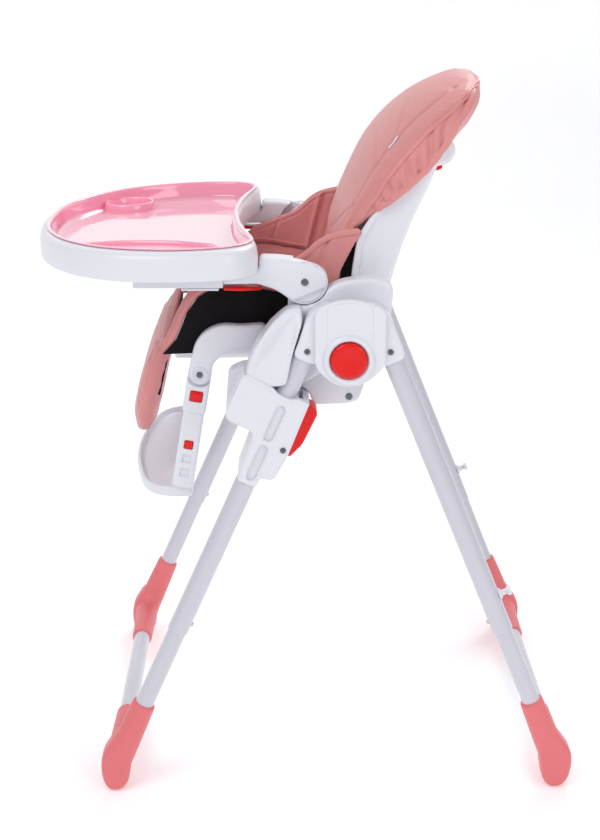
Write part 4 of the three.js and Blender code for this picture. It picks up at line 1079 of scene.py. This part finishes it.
def puff(piece, voxel, cap, pinned=None):
    """Swells a cushion by cloth simulation. No point moves further than `cap`."""
    melt(piece, voxel)
    before = points_of(piece)
    cloth = piece.modifiers.new("cloth", "CLOTH")
    cloth.settings.quality = 4
    cloth.settings.mass = 0.25
    cloth.settings.tension_stiffness = 12
    cloth.settings.compression_stiffness = 4
    cloth.settings.bending_stiffness = 0.3
    cloth.settings.use_pressure = True
    cloth.settings.uniform_pressure_force = 4
    cloth.settings.effector_weights.gravity = 0
    cloth.collision_settings.use_collision = False
    if pinned is not None:
        group = piece.vertex_groups.new(name="held")
        group.add([int(i) for i in np.flatnonzero(pinned(before))], 1.0, "REPLACE")
        cloth.settings.vertex_group_mass = "held"
    for step in range(1, 21):
        bpy.context.scene.frame_set(step)
    apply_modifiers(piece)
    bpy.context.scene.frame_set(1)
    moved = points_of(piece) - before
    length = np.linalg.norm(moved, axis=1, keepdims=True) + 1e-9
    move_points(piece, before + moved / length * cap * np.tanh(length / cap))
    subdivide(piece)
    return piece


def distance_to_line(points, line):
    """How far each point lies from a line through a few points."""
    best = np.full(len(points), 1e9)
    for a, b in zip(line[:-1], line[1:]):
        a, b = np.array(a, float), np.array(b, float)
        span = b - a
        share = np.clip((points - a) @ span / (span @ span), 0, 1)
        best = np.minimum(best, np.linalg.norm(points - a - share[:, None] * span, axis=1))
    return best


def sew(piece, lines, depth, width):
    """Draws the cover in along seams, so that the padding stands up between them."""
    points = points_of(piece)
    pull_in = np.zeros(len(points))
    for line in lines:
        gap = distance_to_line(points, line)
        pull_in = np.maximum(pull_in, depth * np.exp(-(gap / width) ** 2))
    move_points(piece, points - normals_of(piece) * pull_in[:, None])


def on_surface(piece, line, spacing):
    """Evenly spaced points of a line put onto a piece, each with the surface's normal there."""
    tree = BVHTree.FromPolygons([v.co for v in piece.data.vertices],
                                [p.vertices[:] for p in piece.data.polygons])
    length = sum((Vector(b) - Vector(a)).length for a, b in zip(line[:-1], line[1:]))
    found = []
    for p in smooth_line(line, max(3, int(length / spacing))):
        where, normal, _, _ = tree.find_nearest(Vector(p) * MM)
        found.append((where / MM, normal))
    return found


STITCH_SPACING = 4.2
STITCH_LIFT = 0.15


def stitches(name, piece, lines, offset):
    """A row of short threads along each line, lying on the surface of a piece."""
    points, faces = [], []
    for line in lines:
        row = on_surface(piece, line, STITCH_SPACING)
        for (a, normal), (b, _) in zip(row[:-1], row[1:]):
            run = (b - a)
            if run.length < 0.5:
                continue
            side = run.cross(normal).normalized()
            a0 = a + run * 0.18 + normal * STITCH_LIFT + side * offset
            b0 = a + run * 0.82 + normal * STITCH_LIFT + side * offset
            middle = (a0 + b0) / 2 + normal * 0.35
            base = len(points)
            for centre, size in ((a0, 0.25), (middle, 0.55), (b0, 0.25)):
                points += [centre + side * size, centre + normal * size, centre - side * size,
                           centre - normal * size]
            for r in (0, 4):
                faces += [(base + r + i, base + r + (i + 1) % 4, base + r + 4 + (i + 1) % 4, base + r + 4 + i)
                          for i in range(4)]
            faces += [(base + 3, base + 2, base + 1, base), (base + 8, base + 9, base + 10, base + 11)]
    return to_object(name, [tuple(p) for p in points], faces, 60)


# Levels up the back cushion: height, how far back its middle, its side seams, the hem of its side
# panels and its rear lie, and its half width, kept as (height, middle, seam, half, hem, rear).
PAD_RINGS = [(690, 20, 22, 170, 46, 50), (740, 24, 30, 171, 50, 55), (800, 39, 46, 172, 58, 61),
             (836, 50, 60, 174, 68, 70), (862, 57, 75, 186, 91, 96), (893, 69, 95, 195, 133, 136),
             (918, 80, 110, 198, 161, 163), (940, 91, 127, 198, 182, 185), (962, 106, 147, 194, 198, 205),
             (985, 126, 171, 184, 211, 232), (1004, 147, 197, 170, 224, 250),
             (1019, 169, 217, 153, 235, 257), (1033, 200, 232, 124, 242, 257),
             (1042, 220, 240, 88, 245, 254), (1046, 233, 245, 48, 247, 251)]
PAD_TABLE = smooth_line(PAD_RINGS, 90)
PINNED_BELOW = 800


def pad_front(share, ring):
    """A point of the back cushion's front face, from -1 at its right seam to 1 at its left one."""
    z, middle, seam, half, _, _ = ring
    return (share * half, middle + (seam - middle) * abs(share) ** 2.2, z)


def back_cushion():
    rings = []
    for ring in PAD_TABLE:
        z, middle, seam, half, hem, rear = ring
        side = [(half * (0.985 + 0.02 * math.sin(math.pi * k / 4)), seam + (hem - seam) * k / 4, z)
                for k in range(1, 5)]
        back = [(half * 0.93, hem + (rear - hem) * 0.3, z), (half * 0.8, hem + (rear - hem) * 0.7, z),
                (half * 0.5, rear, z), (0, rear, z)]
        left = side + back
        right = [(-x, y, w) for x, y, w in reversed(left[:-1])]
        front = [pad_front(share, ring) for share in np.sin(np.linspace(-math.pi / 2, math.pi / 2, 41))]
        rings.append([(x * 0.99, y, w) for x, y, w in front] + left + right)
    return loft("back_cushion", rings)


def ring_at(z):
    """The back cushion's levels at a height between those of the table."""
    return [float(np.interp(z, PAD_TABLE[:, 0], PAD_TABLE[:, k])) for k in range(6)]


def on_front(x, z):
    """The point of the back cushion's front face at a place across it and a height."""
    ring = ring_at(z)
    return pad_front(max(-1, min(1, x / ring[3])), ring)


def both_sides(line):
    """A line and its mirror image."""
    return [line, [(-x, y, z) for x, y, z in line]]


RIDGE = [pad_front(0.765, ring_at(z)) for z in np.linspace(PINNED_BELOW, 1030, 26)]
EYELET = (146, 957)                     # (x, z) on the cushion's front
ARCH = [on_front(x, z) for x, z in (EYELET, (132, 971), (110, 984), (88, 993), (60, 1004), (34, 1011),
                                    (0, 1014))]
LEAF = [on_front(x, z) for x, z in ((150, 930), (136, 936), (104, 948), (70, 958), (34, 965), (0, 968))]
LOW_SEAM = [on_front(x, z) for x, z in ((142, 868), (110, 850), (70, 830), (32, 815), (0, 810))]
SEAM_LINE = [(ring[3], ring[2], ring[0]) for ring in PAD_TABLE if ring[0] > 838]
HEM_LINE = [(ring[3] * 0.985, ring[4], ring[0]) for ring in PAD_TABLE if ring[0] > 868]


def wrinkle(points, seed, size):
    """Smooth noise from -1 to 1, with waves of about a size."""
    shift = Vector((seed * 17.3, seed * 5.1, seed * 9.7))
    return np.array([noise.noise(Vector(p / size) + shift) for p in points])


# Creases across the side panels: how far up the panel each one is, how far it slants, the shares
# of the panel's width that it runs between, and its depth and width.
CREASES = [(886, 4, 0.2, 1.0, 2.6, 4.0), (903, 8, 0.3, 1.05, 3.4, 3.6), (921, 6, 0.05, 0.7, 4.0, 4.4),
           (936, 8, 0.35, 1.05, 4.4, 4.0), (955, 10, 0.1, 0.8, 4.6, 4.6), (972, 6, 0.3, 1.05, 5.0, 4.2),
           (991, 10, 0.05, 0.85, 4.2, 4.4), (1008, 6, 0.25, 1.05, 4.8, 4.2), (1027, 8, 0.1, 1.05, 3.6, 4.0),
           (1044, 4, 0.3, 1.05, 2.4, 3.4)]


def finish_back_cushion(piece):
    """Seams, the deep folds of the side panels and the small gathers along their hem."""
    sew(piece, both_sides(RIDGE), 3.0, 4.5)
    sew(piece, both_sides(ARCH) + both_sides(LEAF) + both_sides(LOW_SEAM), 2.6, 4.0)
    sew(piece, both_sides(SEAM_LINE), 2.0, 4.0)
    points = points_of(piece)
    normals = normals_of(piece)
    seam = np.interp(points[:, 2], PAD_TABLE[:, 0], PAD_TABLE[:, 2])
    hem = np.interp(points[:, 2], PAD_TABLE[:, 0], PAD_TABLE[:, 4])
    across = np.clip((points[:, 1] - seam) / np.maximum(hem - seam, 6), 0, 1)
    side = (np.abs(normals[:, 0]) > 0.35) & (points[:, 1] > seam - 3) & (points[:, 2] > 850)
    # The panel slopes back, so its folds are counted along that slope from one level on the seam.
    level = points[:, 2] + (points[:, 1] - seam) * 1.15
    folds = 1.6 * wrinkle(np.column_stack([level, across * 14, points[:, 0] * 0.1]), 1, 15)
    for start, slant, first, last, depth, width in CREASES:
        middle = start + slant * (across - 0.5)
        reach = np.clip((across - first) / 0.18, 0, 1) * np.clip((last - across) / 0.18, 0, 1)
        gap = (level - middle) / width
        folds += reach * depth * (0.55 * np.exp(-((gap - 1.9) / 1.5) ** 2) - np.exp(-gap ** 2))
    folds += 0.8 * np.sin(level / 2.4 + 2 * wrinkle(points, 3, 24)) * across ** 3
    calm = 0.5 * wrinkle(points, 4, 42) + 0.25 * wrinkle(points, 5, 15)
    height = np.where(side, folds * np.sin(math.pi * np.clip(across * 0.86 + 0.07, 0, 1)) ** 0.6, calm)
    move_points(piece, points + normals * height[:, None])
    piece.data.shade_smooth()


cushion = puff(back_cushion(), 5, 4, pinned=lambda p: p[:, 2] < PINNED_BELOW)
finish_back_cushion(cushion)
dress(cushion, LEATHER, "backrest", "back_pad")


def settled(piece, line, spacing, lift):
    """A line laid onto a piece, smoothed a little and lifted off its surface."""
    path = np.array([tuple(where + normal * lift) for where, normal in on_surface(piece, line, spacing)])
    for _ in range(3):
        path[1:-1] = (path[:-2] + 2 * path[1:-1] + path[2:]) / 4
    return path


PIPING_TOP = [(104, 242, 1035.5), (76, 249, 1038), (40, 252.5, 1040)]
for number, (offset, radius) in enumerate(((0, 2.3), (5.0, 1.8))):
    line = [(x + 0.8 - 0.25 * offset, y + offset * max(0.2, min(1, (1040 - z) / 30)), z + offset * 0.2)
            for x, y, z in [p for p in SEAM_LINE if p[2] < 1029]]
    line += [(x, y + 0.3 * offset, z - 0.7 * offset) for x, y, z in PIPING_TOP]
    middle = (0, 253.5 + 0.3 * offset, 1041 - 0.7 * offset)
    line = line + [middle] + [(-x, y, z) for x, y, z in reversed(line)]
    path = settled(cushion, line, 4.5, 0.7)
    cord = sweep(f"back_piping_{number}", path, [0.6, radius * 0.8] + [radius] * (len(path) - 4)
                 + [radius * 0.8, 0.6], 12)
    dress(cord, PIPING, "backrest")
for side, sign in SIDES:
    path = settled(cushion, [(sign * x, y - 2.5, z) for x, y, z in HEM_LINE if z < 1034], 3, 0.4)
    radii = [1.0, 3.0] + [5.0] * (len(path) - 18) + list(np.linspace(4.8, 1.2, 16))
    hem = sweep(f"back_hem_{side}", path, radii, 14, squash=0.4, up=(1, 0, 0))
    dress(hem, PIPING, "backrest")

# The black mesh behind the cushion's lower edge, and the pale binding in front of it.
STRIP_EDGE = [(44, 760), (45, 772), (50, 799), (61, 818), (72, 836)]
STRIP_OUTLINE = STRIP_EDGE + [(76, 836), (70, 815), (67, 790), (66, 760)]
STRIP_X = (172.5, 174.5)
for side, sign in SIDES:
    low, high = sorted(sign * x for x in STRIP_X)
    strip = slab(f"back_lining_{side}", STRIP_OUTLINE, low, high, radius=3, edge=0.6)
    dress(strip, LINING, "backrest")
    binding = sweep(f"back_binding_{side}", [(sign * 175, y, z) for y, z in smooth_line(STRIP_EDGE, 30)],
                    [0.8] + [3.2] * 28 + [0.8], 12)
    dress(binding, PIPING, "backrest")

seam_rows = both_sides(RIDGE) + both_sides(ARCH) + both_sides(LEAF) + both_sides(LOW_SEAM)
dress(stitches("back_stitching", cushion, seam_rows, offset=2.2), THREAD, "backrest")


def harness_slot(name, sign):
    """A slim moulded eyelet that the harness would pass through."""
    x, y, z = on_front(*EYELET)
    line = [(sign * (x + 1), y - 3, z - 10), (sign * x, y + 1, z), (sign * (x - 1), y + 8, z + 10)]
    path = settled(cushion, line, 1.5, 0.8)
    radii = [1.6, 2.6] + [3.4] * (len(path) - 4) + [2.6, 1.6]
    return sweep(name, path, radii, 16, squash=0.6, up=(0, 1, 0))


for side, sign in SIDES:
    dress(harness_slot(f"harness_eyelet_{side}", sign), RUBBER, "backrest")

# The seat cushion: a crowned base with padded sides that rise inside the pan.
# Tables of (y, height) for the cushion's upright rims and for the piping on them.
SEAT_RIM = [(-194, 690), (-186, 706), (-172, 722), (-150, 754), (-60, 757), (10, 744)]
PIPING_RIM = [(-194, 690), (-186, 706), (-172, 722), (-150, 755), (-60, 758), (10, 745)]


def seat_cushion():
    """A loft from front to back. The front edge rolls down over the pan."""
    rings = []
    for y in np.linspace(-194, 10, 30):
        front = max(0.0, (-170 - y) / 24)
        drop = 14 * front ** 2
        top = along(SEAT_RIM, y) - 2
        section = [(-182, top), (-182, 676), (-147, 651 + 0.3 * drop), (0, 650 + 0.3 * drop),
                   (147, 651 + 0.3 * drop), (182, 676), (182, top), (171, top), (161, 712 - drop),
                   (140, 686 - drop), (70, 693 - drop), (0, 695 - drop), (-70, 693 - drop),
                   (-140, 686 - drop), (-161, 712 - drop), (-171, top)]
        rings.append([place(p, y, "y") for p in rounded(section, 16, 4)])
    return loft("seat_cushion", rings)


seat_pad = puff(seat_cushion(), 5, 4)
sew(seat_pad, both_sides([(139, y, 690) for y in range(-190, 12, 20)]), 3.0, 5)
sew(seat_pad, [[(x, y, 694) for x in range(-136, 140, 20)] for y in (-60, -130)], 2.2, 5)
seat_points = points_of(seat_pad)
move_points(seat_pad, seat_points + normals_of(seat_pad) * (0.8 * wrinkle(seat_points, 8, 34))[:, None])
dress(seat_pad, LEATHER, "seat", "seat_pad")
for side, sign in SIDES:
    edge_line = [(sign * 177, y, along(PIPING_RIM, y)) for y in np.linspace(-190, 8, 24)]
    dress(sweep(f"seat_piping_{side}", smooth_line(edge_line, 60), 2.6, 12), PIPING, "seat")

# The side wings join the seat cushion to the back cushion.
WING_TOP = [(-96, 762), (-84, 775), (-40, 793), (-10, 805), (17, 828), (34, 837), (60, 843), (76, 845)]
WING_OUTLINE = WING_TOP + [(80, 838), (68, 820), (52, 788), (34, 744), (10, 738), (-60, 750), (-100, 750)]


def wing():
    """A padded side panel with soft folds, a sewn hem and one upright seam."""
    body = slab("cover_wing_left", WING_OUTLINE, 177.5, 186.5, radius=9, edge=4)
    melt(body, 3.5)
    subdivide(body)
    points = points_of(body)
    along_top = points[:, 1] * 0.9 + points[:, 2] * 0.35
    slope = np.interp(points[:, 1], [y for y, _ in WING_TOP], [z for _, z in WING_TOP])
    below = slope - points[:, 2]
    folds = 2.2 * wrinkle(np.column_stack([along_top, points[:, 2] * 0.25, points[:, 0] * 0]), 11, 16)
    folds -= 3.4 * np.exp(-((points[:, 1] - 12 - 0.25 * (points[:, 2] - 760)) / 4) ** 2)
    folds += 2.4 * np.exp(-((points[:, 1] - 22 - 0.25 * (points[:, 2] - 760)) / 6) ** 2)
    hem = -1.4 * np.exp(-((below - 8) / 1.6) ** 2)
    seam = -1.8 * np.exp(-((points[:, 1] + 48 - 0.35 * (points[:, 2] - 760)) / 2.2) ** 2)
    points[:, 0] += folds * 0.8
    inner = points[:, 0] < 182.5
    points[:, 0] += np.where(inner, -1, 1) * (hem + seam)
    move_points(body, points)
    body.data.shade_smooth()
    return body


def bend_with_back(piece, material):
    """Dresses a piece that joins the seat to the backrest: gives it its material and no body, and bakes its
    placement into its points.
    """
    dress(piece, material, None)
    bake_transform(piece)


wing_left = wing()
for each in (wing_left, mirrored(wing_left, "cover_wing_right")):
    bend_with_back(each, LEATHER)

# A padded roll on each side: the cover folded over the front corner of the pan.
ROLL_LINE = [(-122, 763), (-142, 760), (-161, 746), (-175, 724), (-184, 703), (-193, 684), (-203, 668)]


def cover_roll():
    """A soft roll with a second, thinner fold beside it."""
    path = [(180, y, z) for y, z in smooth_line(ROLL_LINE, 40)]
    radii = [3.0, 6.5] + [9.5] * 34 + [9, 8, 6, 3]
    body = sweep("cover_roll_left", path, radii, 20, squash=0.9, up=(1, 0, 0))
    fold = sweep("fold", [(x + 6, y - 4, z - 3) for x, y, z in path], [1.5] + [3.6] * 38 + [1.5], 14)
    body = join("cover_roll_left", body, fold)
    melt(body, FINE_VOXEL)
    points = points_of(body)
    move_points(body, points + normals_of(body) * (1.1 * wrinkle(points, 21, 16))[:, None])
    body.data.shade_smooth()
    return body


wing_hem = sweep("wing_hem_left", [(186.6, y + 0.5, z - 4.4) for y, z in smooth_line(WING_TOP[1:], 70)],
                 [1.0, 3] + [4.4] * 66 + [3, 1], 14, squash=0.3, up=(1, 0, 0))
for each in (wing_hem, mirrored(wing_hem, "wing_hem_right")):
    bend_with_back(each, PIPING)

roll = cover_roll()
for each in (roll, mirrored(roll, "cover_roll_right")):
    dress(each, LEATHER, "seat")

# The calf flap: a padded panel that hangs in front of the seat.
# Tables of (height, y) for its two faces, and of (height, half width).
FLAP_FRONT = [(505, -250), (522, -256), (545, -256), (572, -251), (604, -242.5), (632, -233.5),
              (662, -221.5), (682, -211)]
FLAP_REAR = [(505, -240), (530, -232), (562, -225), (600, -216), (634, -208), (660, -201), (682, -198)]
FLAP_HALF = [(505, 60), (509, 88), (517, 113), (530, 132), (544, 144), (562, 151), (582, 154), (682, 154)]


def calf_flap():
    rings = []
    for z in np.linspace(506, 682, 40):
        half = along(FLAP_HALF, z)
        front = along(FLAP_FRONT, z)
        rear = along(FLAP_REAR, z)
        section = [(-half, front + 3), (-half * 0.6, front), (0, front - 1), (half * 0.6, front),
                   (half, front + 3), (half, rear), (-half, rear)]
        rings.append([place(p, z, "z") for p in rounded(section, 8, 4)])
    return loft("calf_cushion", rings)


flap = puff(calf_flap(), 4, 5, pinned=lambda p: p[:, 2] > 676)
sew(flap, both_sides([(138, along(FLAP_FRONT, z) + 1, z) for z in range(560, 684, 12)]), 2.0, 4)
sew(flap, [[(x, along(FLAP_FRONT, 668), 668) for x in range(-150, 151, 20)]], 2.5, 5)
flap_points = points_of(flap)
move_points(flap, flap_points + normals_of(flap) * (0.9 * wrinkle(flap_points, 14, 30))[:, None])
dress(flap, LEATHER, "calf_flap", "calf_flap_pad")


def calf_lining():
    """Black mesh on the back of the flap."""
    rings = []
    for z in np.linspace(586, 676, 24):
        rear = along(FLAP_REAR, z)
        half = along(FLAP_HALF, z) - 14
        section = [(-half, rear), (half, rear), (half, rear + 3.4), (-half, rear + 3.4)]
        rings.append([place(p, z, "z") for p in rounded(section, 1.5, 2)])
    return loft("calf_lining", rings)


calf_mesh = dress(calf_lining(), LINING, "calf_flap")

# Black mesh sides hang between the seat cushion's rim and the pan.
LINING_FRONT = -206
LINING_BACK = 5
LINING_TOP = [(-206, 664), (-200, 670), (-187, 684), (-179, 702), (-170, 725), (-154, 747), (-131, 760),
              (-111, 763), (-60, 758), (5, 746)]
LINING_LOW = [(-206, 663), (-157, 665), (-147, 682), (-119, 690), (-60, 690), (5, 690)]


def side_lining():
    """A hanging sheet of mesh, open at the front bottom corner where the roll passes."""
    columns, rows = 66, 22
    points, faces = [], []
    for face_x in (189.4, 190.6):
        for i in range(columns + 1):
            y = LINING_FRONT + (LINING_BACK - LINING_FRONT) * i / columns
            top = along(LINING_TOP, y)
            low = along(LINING_LOW, y)
            for k in range(rows + 1):
                share = k / rows
                z = low + (top - low) * share
                sway = 1.6 * math.sin(math.pi * share) * noise.noise(Vector((y / 26, z / 40, 3)))
                points.append((face_x + sway, y, z))
    size = (columns + 1) * (rows + 1)
    for i in range(columns):
        for k in range(rows):
            a = i * (rows + 1) + k
            faces.append((a, a + 1, a + rows + 2, a + rows + 1))
            faces.append((size + a + rows + 1, size + a + rows + 2, size + a + 1, size + a))
    rim = list(range(rows)) + [i * (rows + 1) + rows for i in range(columns)]
    rim += [columns * (rows + 1) + k for k in range(rows, 0, -1)]
    rim += [i * (rows + 1) for i in range(columns, 0, -1)]
    for a, b in zip(rim, rim[1:] + rim[:1]):
        faces.append((a, b, size + b, size + a))
    return to_object("seat_lining_left", points, faces, 60)


lining = side_lining()
for piece in (lining, mirrored(lining, "seat_lining_right")):
    dress(piece, LINING, "seat")

# ---------------------------------------------------------------- floor and light

FLOOR = surface("pale_floor", (250, 250, 251), 0.7, vary=0.01, grain=40, bump=0.02,
                Emission_Strength=0.2)


def floor():
    """A plain floor that curves up into a backdrop on the far side."""
    profile = [(4.0, 0), (0, 0), (-2.2, 0), (-2.9, 0.12), (-3.3, 0.5), (-3.45, 1.2), (-3.5, 4.5)]
    line = smooth_line(profile, 60)
    points = [(x / MM, y / MM, z / MM - 0.4) for x, z in line for y in (-5, 5)]
    faces = [(2 * i, 2 * i + 1, 2 * i + 3, 2 * i + 2) for i in range(len(line) - 1)]
    return to_object("floor", points, faces, 80)


ground = floor()
ground.data.materials.append(FLOOR)


def area_light(name, place_at, aim, size, power):
    data = bpy.data.lights.new(name, "AREA")
    data.shape = "DISK"
    data.size = size
    data.energy = power
    lamp = bpy.data.objects.new(name, data)
    bpy.context.scene.collection.objects.link(lamp)
    lamp.location = place_at
    lamp.rotation_euler = (Vector(aim) - Vector(place_at)).to_track_quat("-Z", "Y").to_euler()


area_light("key", (1.6, -1.6, 2.9), (0, 0, 0.7), 1.8, 30)
area_light("fill", (2.2, 1.8, 1.7), (0, 0, 0.6), 1.6, 15)
area_light("rim", (-1.6, 0.8, 2.4), (0, 0, 0.7), 1.2, 18)

world = bpy.data.worlds.new("studio")
world.use_nodes = True
world.node_tree.nodes["Background"].inputs["Color"].default_value = (0.96, 0.97, 1.0, 1)
world.node_tree.nodes["Background"].inputs["Strength"].default_value = 0.6
bpy.context.scene.world = world
bpy.context.scene.view_settings.view_transform = "Standard"
